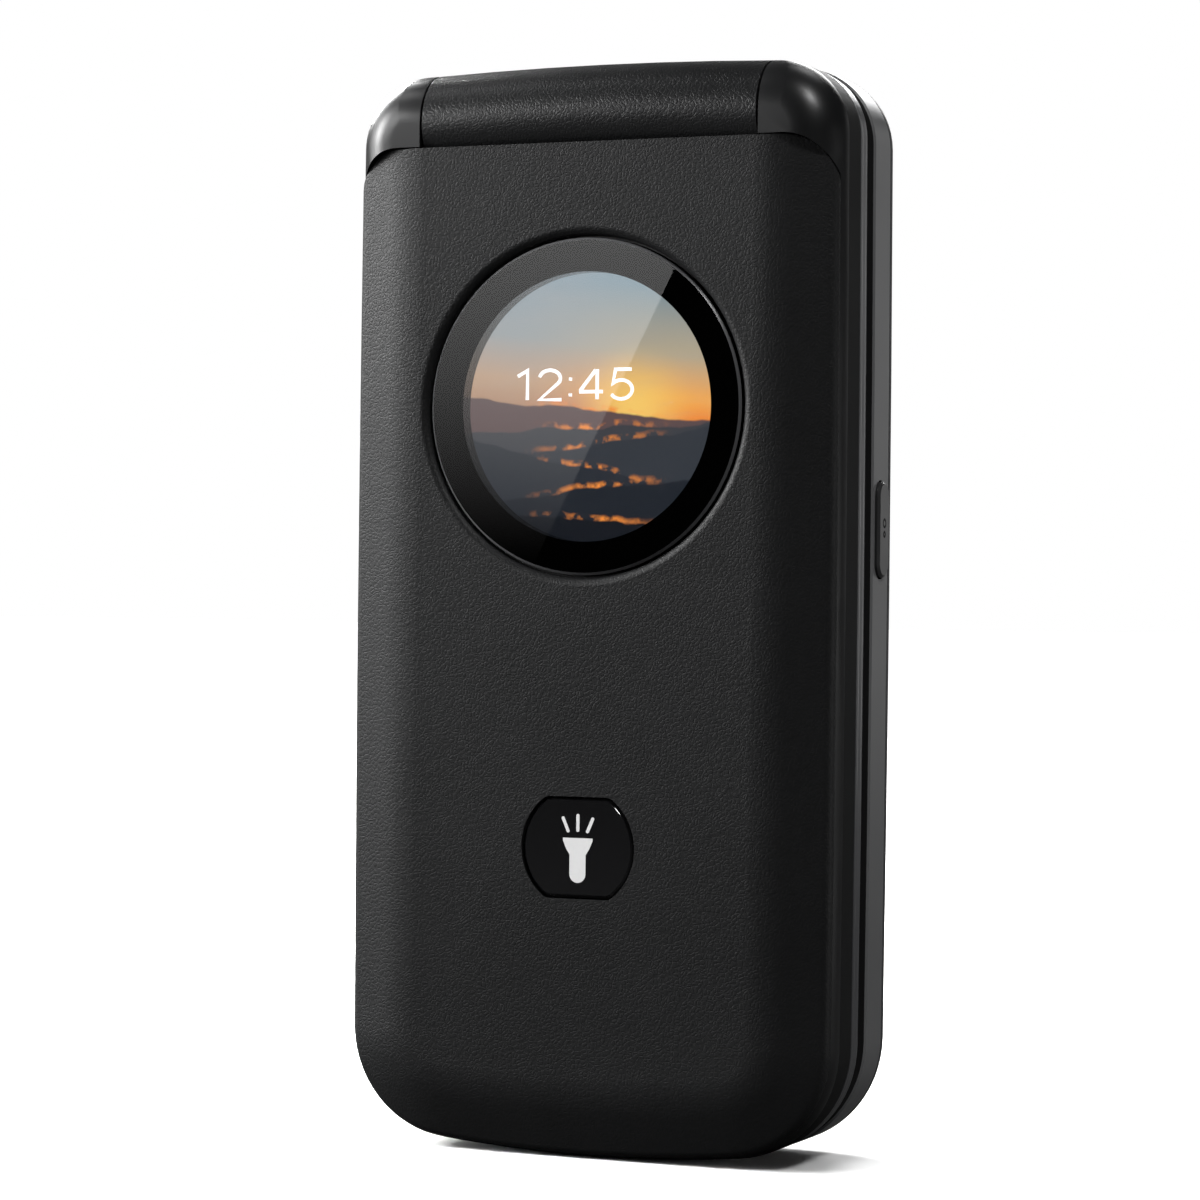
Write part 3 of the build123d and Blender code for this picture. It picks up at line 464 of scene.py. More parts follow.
@dataclass(frozen=True)
class RingedFinish(GrainedFinish):
    """A grained surface that faces sideways and has small dark rings."""

    rings: tuple[Triple, ...] = ()      # depth and height of the middle, and the radius
    ring_wide: float = 0.26
    ring_colour: Triple = (0.002, 0.002, 0.002)
    ring_roughness: float = 0.95

    def lay(self, sheet: MaterialSheet) -> None:
        """Lays the grain and the rings.

        Args:
            sheet: the material's sheet.
        """
        super().lay(sheet)
        split = sheet.split(sheet.place())
        rings = 0.0
        for depth, height, radius in self.rings:
            along = sheet.maths("SUBTRACT", split["Y"], depth_y(depth))
            up = sheet.maths("SUBTRACT", split["Z"], height * MM)
            off = sheet.maths("ABSOLUTE", sheet.maths("SUBTRACT", sheet.reach(along, up), radius * MM))
            rings = sheet.maths("ADD", rings, sheet.maths("LESS_THAN", off, self.ring_wide / 2 * MM))
        inputs = sheet.shader.inputs
        colour, rough = (inputs[key].links[0].from_socket for key in ("Base Color", "Roughness"))
        dull = sheet.maths("MULTIPLY", rings, self.ring_roughness)
        sheet.shade(Base_Color=sheet.blend(rings, colour, self.ring_colour),
                    Roughness=sheet.maths("MAXIMUM", rough, dull))


@dataclass(frozen=True)
class GlassFinish(Finish):
    """Clear glass or moulded lens with a faint cloud in its tint."""

    colour: Triple = (1.0, 1.0, 1.0)
    roughness: float = 0.0
    cloud: float = 0.015
    ior: float = 1.5

    def lay(self, sheet: MaterialSheet) -> None:
        """Lays clear glass.

        Args:
            sheet: the material's sheet.
        """
        faint = tuple(c * (1 - self.cloud) for c in self.colour)
        tint = sheet.blend(sheet.noise(sheet.place(), scale=120.0, detail=4.0), faint, self.colour)
        sheet.shade(Base_Color=tint, Roughness=self.roughness, Transmission_Weight=1.0, IOR=self.ior)


@dataclass(frozen=True)
class InkFinish(Finish):
    """Printed or lit mark."""

    colour: Triple
    glow: float = 0.0
    roughness: float = 0.5
    speck: float = 0.94

    def lay(self, sheet: MaterialSheet) -> None:
        """Lays faintly specked ink.

        Args:
            sheet: the material's sheet.
        """
        dark = tuple(c * self.speck for c in self.colour)
        colour = sheet.blend(sheet.noise(sheet.place(), scale=2500.0, detail=2.0), dark, self.colour)
        sheet.shade(Base_Color=colour, Roughness=self.roughness)
        if self.glow:
            sheet.shade(Emission_Color=colour, Emission_Strength=self.glow)


@dataclass(frozen=True)
class Ridge:
    """One line of hills in the picture, whose half width and half height are 1."""

    level: float
    swing: float
    pitch: float
    seed: float
    tilt: float
    colour: Triple


@dataclass(frozen=True)
class PictureFinish(Finish):
    """Lit round display with a plain picture of hills under an evening sky."""

    centre: Pair
    radius: float
    glow: float = 1.0
    panel: Triple = (0.01, 0.01, 0.012)
    lit_middle: float = 0.05
    lit_reach: Pair = (0.6, 0.05)
    lit_spots: Pair = (0.46, 0.6)
    crest: float = 0.035
    crest_soft: float = 0.03
    ridge_soft: float = 0.015
    crest_colour: Triple = (0.95, 0.30, 0.05)
    sky_slant: float = 0.10
    cool_sky: Stops = ((0.44, (0.42, 0.24, 0.15)), (0.58, (0.50, 0.34, 0.23)),
                       (0.74, (0.30, 0.33, 0.34)), (0.97, (0.22, 0.29, 0.34)))
    warm_sky: Stops = ((0.44, (0.86, 0.15, 0.02)), (0.56, (0.95, 0.42, 0.09)),
                       (0.72, (0.48, 0.40, 0.27)), (0.97, (0.20, 0.29, 0.34)))
    warm_side: Pair = (-0.7, 0.75)
    sun: Pair = (0.34, -0.04)
    sun_reach: float = 0.55
    sun_weight: float = 0.9
    sun_colour: Triple = (1.0, 0.66, 0.16)
    haze: float = 0.35
    haze_colour: Triple = (0.46, 0.40, 0.36)
    ridges: tuple[Ridge, ...] = (
        Ridge(-0.02, 0.22, 1.1, 3.1, -0.10, (0.115, 0.075, 0.075)),
        Ridge(-0.15, 0.16, 2.1, 7.7, 0.03, (0.050, 0.053, 0.062)),
        Ridge(-0.27, 0.30, 0.9, 12.4, 0.14, (0.036, 0.042, 0.052)),
        Ridge(-0.45, 0.22, 1.7, 1.9, -0.20, (0.024, 0.029, 0.038)),
        Ridge(-0.62, 0.26, 1.2, 5.2, 0.10, (0.014, 0.018, 0.025)),
        Ridge(-0.84, 0.20, 2.3, 9.6, -0.06, (0.007, 0.009, 0.013)),
    )

    def lay(self, sheet: MaterialSheet) -> None:
        """Lays the lit picture.

        Args:
            sheet: the material's sheet.
        """
        scale = 1 / (self.radius * MM)
        shift = (-self.centre[0] / self.radius, 0.0, -self.centre[1] / self.radius)
        view = sheet.add("ShaderNodeMapping", Vector=sheet.place(), Location=shift,
                         Scale=(scale, 0.0, scale)).outputs[0]
        sheet.shade(Base_Color=self.panel, Roughness=0.6, Specular_IOR_Level=0.05,
                    Emission_Color=self.hills(sheet, view, self.sky(sheet, view)),
                    Emission_Strength=self.glow)

    def sky(self, sheet: NodeSheet, view: Socket) -> Socket:
        """Evening sky, warm low down and to the right.

        Args:
            sheet: the material's sheet.
            view: picture coordinates, from -1 to 1 across the display.

        Returns:
            The sky's colour.
        """
        split = sheet.split(view)
        slant = sheet.maths("ADD", split["Z"], sheet.maths("MULTIPLY", split["X"], self.sky_slant))
        height = sheet.maths("ADD", sheet.maths("MULTIPLY", slant, 0.5), 0.5)
        cool, warm = (self.ramp(sheet, height, stops) for stops in (self.cool_sky, self.warm_sky))
        sky = sheet.blend(sheet.span(split["X"], self.warm_side, smooth=True), cool, warm)
        away = sheet.reach(*(sheet.maths("SUBTRACT", split[axis], middle)
                             for axis, middle in zip("XZ", self.sun)))
        halo = sheet.maths("MULTIPLY", sheet.span(away, (self.sun_reach, 0.0), smooth=True),
                           self.sun_weight)
        sky = sheet.blend(halo, sky, self.sun_colour)
        flat = sheet.add("ShaderNodeMapping", Vector=view, Scale=(1.0, 1.0, 5.0)).outputs[0]
        haze = sheet.span(sheet.noise(flat, scale=1.4, detail=4.0), outlet=(-self.haze, self.haze))
        return sheet.blend(haze, sky, self.haze_colour)

    @staticmethod
    def ramp(sheet: NodeSheet, value: Socket, stops: Stops) -> Socket:
        """Adds a colour ramp.

        Args:
            sheet: the material's sheet.
            value: what drives the ramp.
            stops: positions and colours, in order.

        Returns:
            The ramp's colour.
        """
        node = sheet.add("ShaderNodeValToRGB", Fac=value)
        elements = node.color_ramp.elements
        for element, (position, colour) in zip(elements, (stops[0], stops[-1])):
            element.position, element.color = position, (*colour, 1.0)
        for position, colour in stops[1:-1]:
            elements.new(position).color = (*colour, 1.0)
        return node.outputs["Color"]

    def hills(self, sheet: NodeSheet, view: Socket, picture: Socket) -> Socket:
        """Lines of hills one behind the other, darker towards the viewer, with lit crests.

        Args:
            sheet: the material's sheet.
            view: picture coordinates.
            picture: the sky behind the hills.

        Returns:
            The picture's colour.
        """
        away = sheet.maths("ABSOLUTE", sheet.maths("SUBTRACT", sheet.split(view)["X"], self.lit_middle))
        spots = sheet.span(sheet.noise(view, scale=9.0, detail=3.0), self.lit_spots)
        lit = sheet.maths("MULTIPLY", sheet.span(away, self.lit_reach), spots)
        tree = ShaderGroups.get("hill line", "Level", "Swing", "Pitch", "Seed", "Tilt", "Softness")
        for ridge in self.ridges:
            for softness, lift, tone in ((self.crest_soft, self.crest, self.crest_colour),
                                         (self.ridge_soft, 0.0, ridge.colour)):
                mask = sheet.group(tree, Vector=view, Level=ridge.level + lift, Swing=ridge.swing,
                                   Pitch=ridge.pitch, Seed=ridge.seed, Tilt=ridge.tilt,
                                   Softness=softness)["Mask"]
                picture = sheet.blend(sheet.maths("MULTIPLY", mask, lit) if lift else mask, picture, tone)
        return picture


LEATHER = GrainedFinish("cover leather grain", (0.0078, 0.0080, 0.0085), 0.50, Grain.LEATHER, 0.42, 0.5,
                        0.03, 0.35, 0.08, specular=0.26)
KNUCKLE = GrainedFinish("knuckle leather grain", (0.0078, 0.0080, 0.0085), 0.34, Grain.LEATHER, 0.42,
                        0.4, 0.03, 0.35, specular=0.34)
SATIN = GrainedFinish("satin shoulder plastic", (0.0085, 0.0087, 0.0092), 0.34, specular=0.36)
# dark colour for the base shell's front rim, deep in the gap under the lid: painted shade
GROOVE_SHADE = GrainedFinish("groove painted shade", (0.018, 0.018, 0.0185), 0.5, specular=0.2)
# darker copy of the frame's satin plastic for its flat sides: painted shade
SHADED_SIDE = GrainedFinish("frame side painted shade", (0.005, 0.0051, 0.0054), 0.55, specular=0.12)
BEZEL = GrainedFinish("lid strip paint", (0.045, 0.046, 0.05), 0.34, Grain.SPARK, 0.1, 0.08)
TUB = GrainedFinish("base shell plastic", (0.13, 0.131, 0.134), 0.34)
BACK = GrainedFinish("battery cover plastic", (0.03, 0.0305, 0.033), 0.45, Grain.LEATHER, 0.45, 0.25, 0.025)
PLATEAU = GrainedFinish("keypad plateau plastic", (0.02, 0.0203, 0.022), 0.4)
GLOSS = GrainedFinish("polished black plastic", (0.006, 0.006, 0.0065), 0.09, Grain.SPARK, 0.5, 0.02,
                      rough_swing=0.03)
# glossier bands on the lid strip's edges: a polished edge's gloss, and a lighter colour that is a painted
# highlight
POLISHED_EDGE_AND_HIGHLIGHT = GrainedFinish("polished strip edge and painted highlight", (0.16, 0.162, 0.168), 0.2, Grain.SPARK, 0.1, 0.04, specular=0.8)
GOLD = GrainedFinish("contact gold", (0.75, 0.52, 0.2), 0.25, Grain.BRUSHED, 0.08, 0.1, metallic=1.0)
RING = GrainedFinish("lens ring plastic", (0.004, 0.004, 0.0045), 0.2, Grain.SPARK, 0.3, 0.04)
KEY = GrainedFinish("key cap plastic", (0.024, 0.0243, 0.026), 0.33, Grain.SPARK, 0.2, 0.1)
CHROME = GrainedFinish("ring lacquer", (0.32, 0.325, 0.34), 0.24, Grain.SPARK, 0.2, 0.04, metallic=0.8)
RUBBER = GrainedFinish("soft rubber", (0.02, 0.02, 0.02), 0.72, Grain.SPARK, 0.25, 0.3, 0.03)
STEEL = GrainedFinish("ground steel", (0.5, 0.5, 0.51), 0.3, Grain.BRUSHED, 0.08, 0.2, metallic=1.0)
TIN = GrainedFinish("tinned sheet", (0.62, 0.62, 0.63), 0.28, Grain.BRUSHED, metallic=1.0)
BLACK_STEEL = GrainedFinish("blackened steel", (0.12, 0.12, 0.125), 0.35, Grain.BRUSHED, 0.08, 0.2,
                            metallic=1.0)
BOARD = GrainedFinish("circuit board", (0.012, 0.085, 0.04), 0.3, Grain.SPARK, 0.8, 0.1, 0.02, 0.3)
FILM = GrainedFinish("amber film", (0.42, 0.17, 0.03), 0.25, Grain.SPARK, 0.6, 0.06, tint=0.2)
WRAP = GrainedFinish("battery wrap", (0.03, 0.031, 0.035), 0.3, Grain.SPARK, 0.4, 0.06)
SCREEN = GrainedFinish("unlit display", (0.006, 0.0065, 0.008), 0.16, Grain.SPARK, 0.2, 0.02, 0.005)
GLASS = GlassFinish("clear glass")
LAMP = GlassFinish("lamp lens", (1.0, 0.95, 0.78), 0.2, 0.1)
# lighter grey on the window's slanted edge: a ground edge's own tone, and partly a painted highlight line
GROUND_EDGE_AND_HIGHLIGHT = GrainedFinish("ground glass edge and painted highlight", (0.10, 0.101, 0.105), 0.25, Grain.SPARK, 0.1, 0.04)
WHITE_INK = InkFinish("white print", (0.93, 0.93, 0.93))
LIT_INK = InkFinish("lit digits", (0.95, 0.96, 0.98), 1.0)
GREEN_INK = InkFinish("green print", (0.05, 0.5, 0.12))
RED_INK = InkFinish("red print", (0.6, 0.03, 0.03))
PICTURE = PictureFinish("evening hills picture", middle_of("outer_glass")[::2], 13.4)


@dataclass(frozen=True)
class Print:
    """What a printed or lit mark is made of and where it lies, in millimetres."""

    finish: InkFinish
    body: str
    slot: str
    depth: float                # of its back, behind the lid's front
    pen: float = 0.36
    thick: float = INK_THICK


class SubAssembly:
    """Pieces that belong together, and the ways to dress and add them."""

    owners = {node: body for body, nodes in frame["record"]["behaviour"]["bodies"].items() for node in nodes}
    slots = {part["node"]: part["material_slot"] for part in frame["record"]["subparts"]}
    over = 0.1                  # share of the ink by which each stroke of a sign is thicker than the last

    def dress(self, node: str, finish: Finish, crease: float = SHARP, cuts: tuple[float, ...] = (),
              even: bool = False) -> Piece:
        """Stands a smooth-shaded copy in for a CAD node and gives it its finish.

        Args:
            node: the CAD node.
            finish: the finish to give it.
            crease: edges sharper than this many degrees stay sharp.
            cuts: depths at which its faces are split, in millimetres.
            even: whether its large faces set the shading of its rounded edges.

        Returns:
            The new piece.
        """
        form = bmesh.new()
        form.from_mesh(frame["nodes"][node].data)
        bmesh.ops.remove_doubles(form, verts=form.verts, dist=WELD * MM)
        bmesh.ops.dissolve_limit(form, angle_limit=math.radians(FLAT), verts=form.verts, edges=form.edges)
        for depth in cuts:
            parts = form.verts[:] + form.edges[:] + form.faces[:]
            bmesh.ops.bisect_plane(form, geom=parts, plane_co=(0, depth_y(depth), 0), plane_no=(0, 1, 0))
        piece = self.solid(f"{node}_dressed", form, finish, self.owners[node], crease, even)
        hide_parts(node)
        return piece

    def dress_all(self, **finishes: Finish) -> None:
        """Dresses the nodes that need nothing more, each with the finish given by its name."""
        for node, finish in finishes.items():
            self.dress(node, finish)

    @staticmethod
    def solid(name: str, form: Form, finish: Finish, body: str, crease: float = SHARP,
              even: bool = False) -> Piece:
        """Turns a form into a piece that rides on a body.

        Args:
            name: the piece's name.
            form: its shape, which is freed.
            finish: the finish to give it.
            body: the CAD body that it rides on.
            crease: edges sharper than this many degrees stay sharp.
            even: whether its large faces set the shading of its rounded edges.

        Returns:
            The new piece.
        """
        mesh = bpy.data.meshes.new(name)
        for face in form.faces:
            face.smooth = True
        form.to_mesh(mesh)
        form.free()
        if "custom_normal" in mesh.attributes:
            mesh.attributes.remove(mesh.attributes["custom_normal"])
        mesh.set_sharp_from_angle(angle=math.radians(crease))
        mesh.materials.clear()
        mesh.materials.append(finish.material())
        piece = link(name, mesh)
        if even:
            weigh = piece.modifiers.new("weigh", "WEIGHTED_NORMAL")
            weigh.keep_sharp = True
            settle(piece, weigh)
        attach(piece, body)
        LOG.info("%s: %d faces on %s", name, len(piece.data.polygons), body)
        return piece

    @staticmethod
    def second(piece: Piece, finish: Finish, chosen: Callable[[bpy.types.MeshPolygon], bool]) -> None:
        """Gives some faces of a piece another finish.

        Args:
            piece: the dressed piece.
            finish: the other finish.
            chosen: tells of a face whether it is one of them.
        """
        piece.data.materials.append(finish.material())
        for face in piece.data.polygons:
            if chosen(face):
                face.material_index = 1

    def mark(self, name: str, outlines: list[Path], ink: Print, middle: Pair) -> None:
        """Flat mark that faces forward.

        Args:
            name: the piece's name.
            outlines: closed outlines of (x, z) points from its middle, in millimetres.
            ink: its ink and depth.
            middle: (x, z) of its middle.
        """
        form = bmesh.new()
        for outline in outlines:
            places = [((middle[0] + x) * MM, (middle[1] + z) * MM) for x, z in outline]
            back, front = ([form.verts.new((x, depth_y(depth), z)) for x, z in places]
                           for depth in (ink.depth, ink.depth - ink.thick))
            form.faces.new(back)
            form.faces.new(front)
            for i, vert in enumerate(back):
                j = (i + 1) % len(back)
                form.faces.new((vert, back[j], front[j], front[i]))
        bmesh.ops.recalc_face_normals(form, faces=form.faces)
        self.solid(name, form, ink.finish, ink.body)

    def lettering(self, name: str, text: str, centre: Pair, size: Pair, ink: Print) -> None:
        """Digits or signs that face forward, drawn with a round pen and fitted to a box.

        Args:
            name: the piece's name.
            text: the digits or signs.
            centre: (x, z) of the middle, in millimetres.
            size: width and height in millimetres, to the outsides of the strokes.
            ink: their ink and depth.
        """
        paths, start = [], 0.0
        for sign in text:
            wide, strokes = Glyphs.sign(sign)
            paths += [[(start + x, z) for x, z in path] for path in strokes]
            start += wide + Glyphs.gap
        xs, zs = zip(*(point for path in paths for point in path))
        scale_x = (size[0] - ink.pen) / (max(xs) - min(xs))
        scale_z = (size[1] - ink.pen) / (max(zs) - min(zs))
        middle = ((max(xs) + min(xs)) / 2, (max(zs) + min(zs)) / 2)
        form = bmesh.new()
        for order, path in enumerate(paths):
            points = [(centre[0] + (x - middle[0]) * scale_x, centre[1] + (z - middle[1]) * scale_z)
                      for x, z in path]
            ribbon(form, points, ink.pen, ink.depth, ink.thick * (1 + self.over * order))
        self.solid(name, form, ink.finish, ink.body)


def arc(centre: Pair, radius: float, start: float, end: float, steps: int = 12) -> Path:
    """Points along an arc from one angle to another in degrees, both ends included."""
    turns = [math.radians(start + (end - start) * i / steps) for i in range(steps + 1)]
    return [(centre[0] + radius * math.cos(t), centre[1] + radius * math.sin(t)) for t in turns]


def stroke(start: Pair, end: Pair, wide: float) -> Path:
    """Outline of a straight stroke of a width, from the middle of one round end to the other's."""
    turn = math.degrees(math.atan2(end[1] - start[1], end[0] - start[0]))
    return arc(end, wide / 2, turn - 90, turn + 90) + arc(start, wide / 2, turn + 90, turn + 270)


def ribbon(form: Form, path: Path, wide: float, depth: float, thick: float) -> None:
    """Adds a flat band of even width that follows a path, open or closed.

    Args:
        form: the shape to add to.
        path: (x, z) points in millimetres; equal ends close the band.
        wide: the band's width.
        depth: distance of its back behind the lid's front.
        thick: its thickness, towards the front.
    """
    points = [Vector(point) for point in path]
    closed = (points[0] - points[-1]).length < ENDS_MEET
    if closed:
        points.pop()
    count = len(points)
    rings = []
    for i, point in enumerate(points):
        before = points[(i - 1) % count] if closed or i else 2 * point - points[1]
        after = points[(i + 1) % count] if closed or i < count - 1 else 2 * point - points[i - 1]
        first, last = (point - before).normalized(), (after - point).normalized()
        along = (first + last).normalized()
        side = Vector((-along.y, along.x)) * wide / 2 / max(MITRE_LEAST, along.dot(first))
        edges = ((point + side, depth), (point - side, depth), (point - side, depth - thick),
                 (point + side, depth - thick))
        rings.append([form.verts.new((edge.x * MM, depth_y(level), edge.y * MM)) for edge, level in edges])
    faces = []
    for i in range(count if closed else count - 1):
        near, far = rings[i], rings[(i + 1) % count]
        faces += [form.faces.new((near[k], near[(k + 1) % 4], far[(k + 1) % 4], far[k])) for k in range(4)]
    if not closed:
        faces += [form.faces.new(rings[0]), form.faces.new(rings[-1])]
    bmesh.ops.recalc_face_normals(form, faces=faces)


class Glyphs:
    """Plain digits and signs as pen paths in a box one unit tall."""

    gap = 0.15
    step = 12                   # degrees between a bend's points
    wide = 0.6
    narrow = {"1": 0.36, ":": 0.12}

    @classmethod
    def bend(cls, centre: Pair, radii: Pair, start: float, end: float) -> Path:
        """Points along part of an ellipse.

        Args:
            centre: the ellipse's centre.
            radii: its half width and half height.
            start: first angle in degrees.
            end: last angle in degrees.

        Returns:
            The points.
        """
        unit = arc((0.0, 0.0), 1.0, start, end, max(4, round(abs(end - start) / cls.step)))
        points = [(centre[0] + x * radii[0], centre[1] + z * radii[1]) for x, z in unit]
        if abs(end - start) >= 360:
            points[-1] = points[0]
        return points

    @classmethod
    def sign(cls, sign: str) -> tuple[float, list[Path]]:
        """One digit or sign.

        Args:
            sign: the digit, colon, star or hash.

        Returns:
            Its width and its pen paths.
        """
        bend = cls.bend
        six = [bend((0.37, 0.50), (0.33, 0.47), 58, 175) + bend((0.30, 0.29), (0.26, 0.28), 172, 530)]
        paths = {
            "0": [bend((0.29, 0.5), (0.27, 0.48), 90, 450)],
            "1": [[(0.0, 0.78), (0.24, 0.97), (0.24, 0.0)]],
            "2": [bend((0.29, 0.70), (0.26, 0.27), 170, -32) + [(0.03, 0.0), (0.58, 0.0)]],
            "3": [bend((0.27, 0.73), (0.22, 0.24), 155, -80) + bend((0.28, 0.25), (0.27, 0.25), 80, -155)],
            "4": [[(0.44, 0.0), (0.44, 0.98)], [(0.40, 0.96), (0.02, 0.28)], [(0.0, 0.25), (0.58, 0.25)]],
            "5": [[(0.53, 0.97), (0.14, 0.97), (0.07, 0.50)] + bend((0.28, 0.31), (0.27, 0.31), 128, -150)],
            "6": six,
            "7": [[(0.02, 0.97), (0.56, 0.97), (0.20, 0.0)]],
            "8": [bend((0.29, 0.75), (0.21, 0.22), 270, -90), bend((0.29, 0.26), (0.26, 0.26), 90, 450)],
            "9": [[(0.58 - x, 0.97 - z) for x, z in path] for path in six],
            ":": [[(0.05, 0.10), (0.05, 0.20)], [(0.05, 0.62), (0.05, 0.72)]],
            "*": [[(0.05, 0.5), (0.55, 0.5)], [(0.17, 0.28), (0.43, 0.72)], [(0.17, 0.72), (0.43, 0.28)]],
            "#": [[(0.18, 0.05), (0.25, 0.93)], [(0.40, 0.05), (0.47, 0.93)], [(0.04, 0.33), (0.58, 0.33)],
                  [(0.06, 0.65), (0.60, 0.65)]],
        }
        return cls.narrow.get(sign, cls.wide), paths[sign]


@dataclass(frozen=True)
class Stud:
    """One flat stud of a field, in millimetres."""

    radius: float
    thick: float
    sides: int


@dataclass
class StudField(SubAssembly):
    """Studs in staggered rows in a round-ended or square field, in millimetres."""

    columns: int
    rows: int
    wide: float
    tall: float
    stud: Stud
    square: bool = False

    kinds = {int: "Int", float: "Float", tuple: "Vector", bpy.types.Material: "Material"}
    slack = 1.05                # how far past a round end a stud's middle may be

    @classmethod
    def over_back(cls, name: str, node: str, rows: tuple[int, int], edge: float, stud: Stud,
                  finish: Finish, square: bool = False) -> None:
        """Fills the back of a CAD node with studs.

        Args:
            name: the piece's name.
            node: the CAD node.
            rows: how many studs lie across and up.
            edge: how much less than the node the field measures, in millimetres.
            stud: the stud.
            finish: its finish.
            square: whether the field has square ends.
        """
        low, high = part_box(node)
        wide, tall = (length / MM - edge for length in (high.x - low.x, high.z - low.z))
        x, _, z = middle_of(node)
        cls(*rows, wide, tall, stud, square).make(name, (x, depth_of(high.y), z), Facing.BACK, finish, node)

    def make(self, name: str, place: Triple, facing: Facing, finish: Finish, node: str) -> None:
        """Sets the field on a face of a CAD node.

        Args:
            name: the piece's name.
            place: (x, depth behind the lid's front, z) of the field's middle, in millimetres.
            facing: which way the studs face.
            finish: their finish.
            node: the CAD node that carries them.
        """
        x, depth, z = place
        settings = {
            "Columns": self.columns, "Rows": self.rows, "Wide": self.wide * MM, "Tall": self.tall * MM,
            "Radius": self.stud.radius * MM, "Thick": self.stud.thick * MM, "Sides": self.stud.sides,
            "Corner": 0.0 if self.square else 1.0, "Turn": (math.radians(facing.value), 0.0, 0.0),
            "Place": (x * MM, depth_y(depth), z * MM), "Finish": finish.material(),
        }
        piece = link(name, bpy.data.meshes.new(name))
        field = piece.modifiers.new("field", "NODES")
        field.node_group = self.tree(settings)
        for item in field.node_group.interface.items_tree:
            if item.in_out == "INPUT":
                field[item.identifier] = settings[item.name]
        settle(piece, field)
        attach(piece, self.owners[node])
        LOG.info("%s: %d faces on %s", name, len(piece.data.polygons), self.owners[node])

    @classmethod
    def tree(cls, settings: dict[str, object]) -> Tree:
        """Gives the Geometry Nodes tree, which is built the first time.

        Args:
            settings: values of its inputs, by name.

        Returns:
            The tree.
        """
        name = "field of studs"
        if name in bpy.data.node_groups:
            return bpy.data.node_groups[name]
        tree = bpy.data.node_groups.new(name, "GeometryNodeTree")
        for key, value in settings.items():
            kind = cls.kinds[type(value)]
            tree.interface.new_socket(key, in_out="INPUT", socket_type=f"NodeSocket{kind}")
        tree.interface.new_socket("Geometry", in_out="OUTPUT", socket_type="NodeSocketGeometry")
        sheet = NodeSheet(tree)
        source = sheet.add("NodeGroupInput").outputs
        grid = sheet.add("GeometryNodeMeshGrid", Size_X=source["Wide"], Size_Y=source["Tall"],
                         Vertices_X=source["Columns"], Vertices_Y=source["Rows"])
        row = sheet.maths("MODULO", sheet.add("GeometryNodeInputIndex").outputs[0], source["Rows"])
        pitch = sheet.maths("DIVIDE", source["Wide"], sheet.maths("SUBTRACT", source["Columns"], 1.0))
        shift = sheet.maths("MULTIPLY", sheet.maths("SUBTRACT", sheet.maths("MODULO", row, 2.0), 0.5),
                            sheet.maths("MULTIPLY", pitch, 0.5))
        stagger = sheet.add("ShaderNodeCombineXYZ", X=shift)
        points = sheet.add("GeometryNodeSetPosition", Geometry=grid.outputs["Mesh"],
                           Offset=stagger.outputs[0])
        stud = sheet.add("GeometryNodeMeshCylinder", Vertices=source["Sides"], Radius=source["Radius"],
                         Depth=sheet.maths("MULTIPLY", source["Thick"], 2.0))
        spin = sheet.add("ShaderNodeCombineXYZ", Z=sheet.maths("DIVIDE", math.pi, source["Sides"]))
        studs = sheet.add("GeometryNodeInstanceOnPoints", Points=points.outputs[0],
                          Selection=cls.inside(sheet, source), Instance=stud.outputs["Mesh"],
                          Rotation=spin.outputs[0])
        whole = sheet.add("GeometryNodeRealizeInstances", Geometry=studs.outputs[0])
        turned = sheet.add("GeometryNodeTransform", Geometry=whole.outputs[0], Rotation=source["Turn"],
                           Translation=source["Place"])
        dressed = sheet.add("GeometryNodeSetMaterial", Geometry=turned.outputs[0],
                            Material=source["Finish"])
        sheet.add("NodeGroupOutput", Geometry=dressed.outputs[0])
        return tree

    @classmethod
    def inside(cls, sheet: NodeSheet, source: Sockets) -> Socket:
        """Picks the points inside the field's round ends.

        Args:
            sheet: the tree's sheet.
            source: the tree's inputs.

        Returns:
            The selection.
        """
        split = sheet.split(sheet.add("GeometryNodeInputPosition").outputs[0])
        half = sheet.maths("MULTIPLY", source["Tall"], 0.5)
        straight = sheet.maths("SUBTRACT", sheet.maths("MULTIPLY", source["Wide"], 0.5), half)
        past = sheet.maths("SUBTRACT", sheet.maths("ABSOLUTE", split["X"]), straight)
        past = sheet.maths("MULTIPLY", sheet.maths("MAXIMUM", past, 0.0), source["Corner"])
        limit = sheet.maths("MULTIPLY", half, cls.slack)
        return sheet.maths("LESS_THAN", sheet.reach(past, split["Y"]), limit)


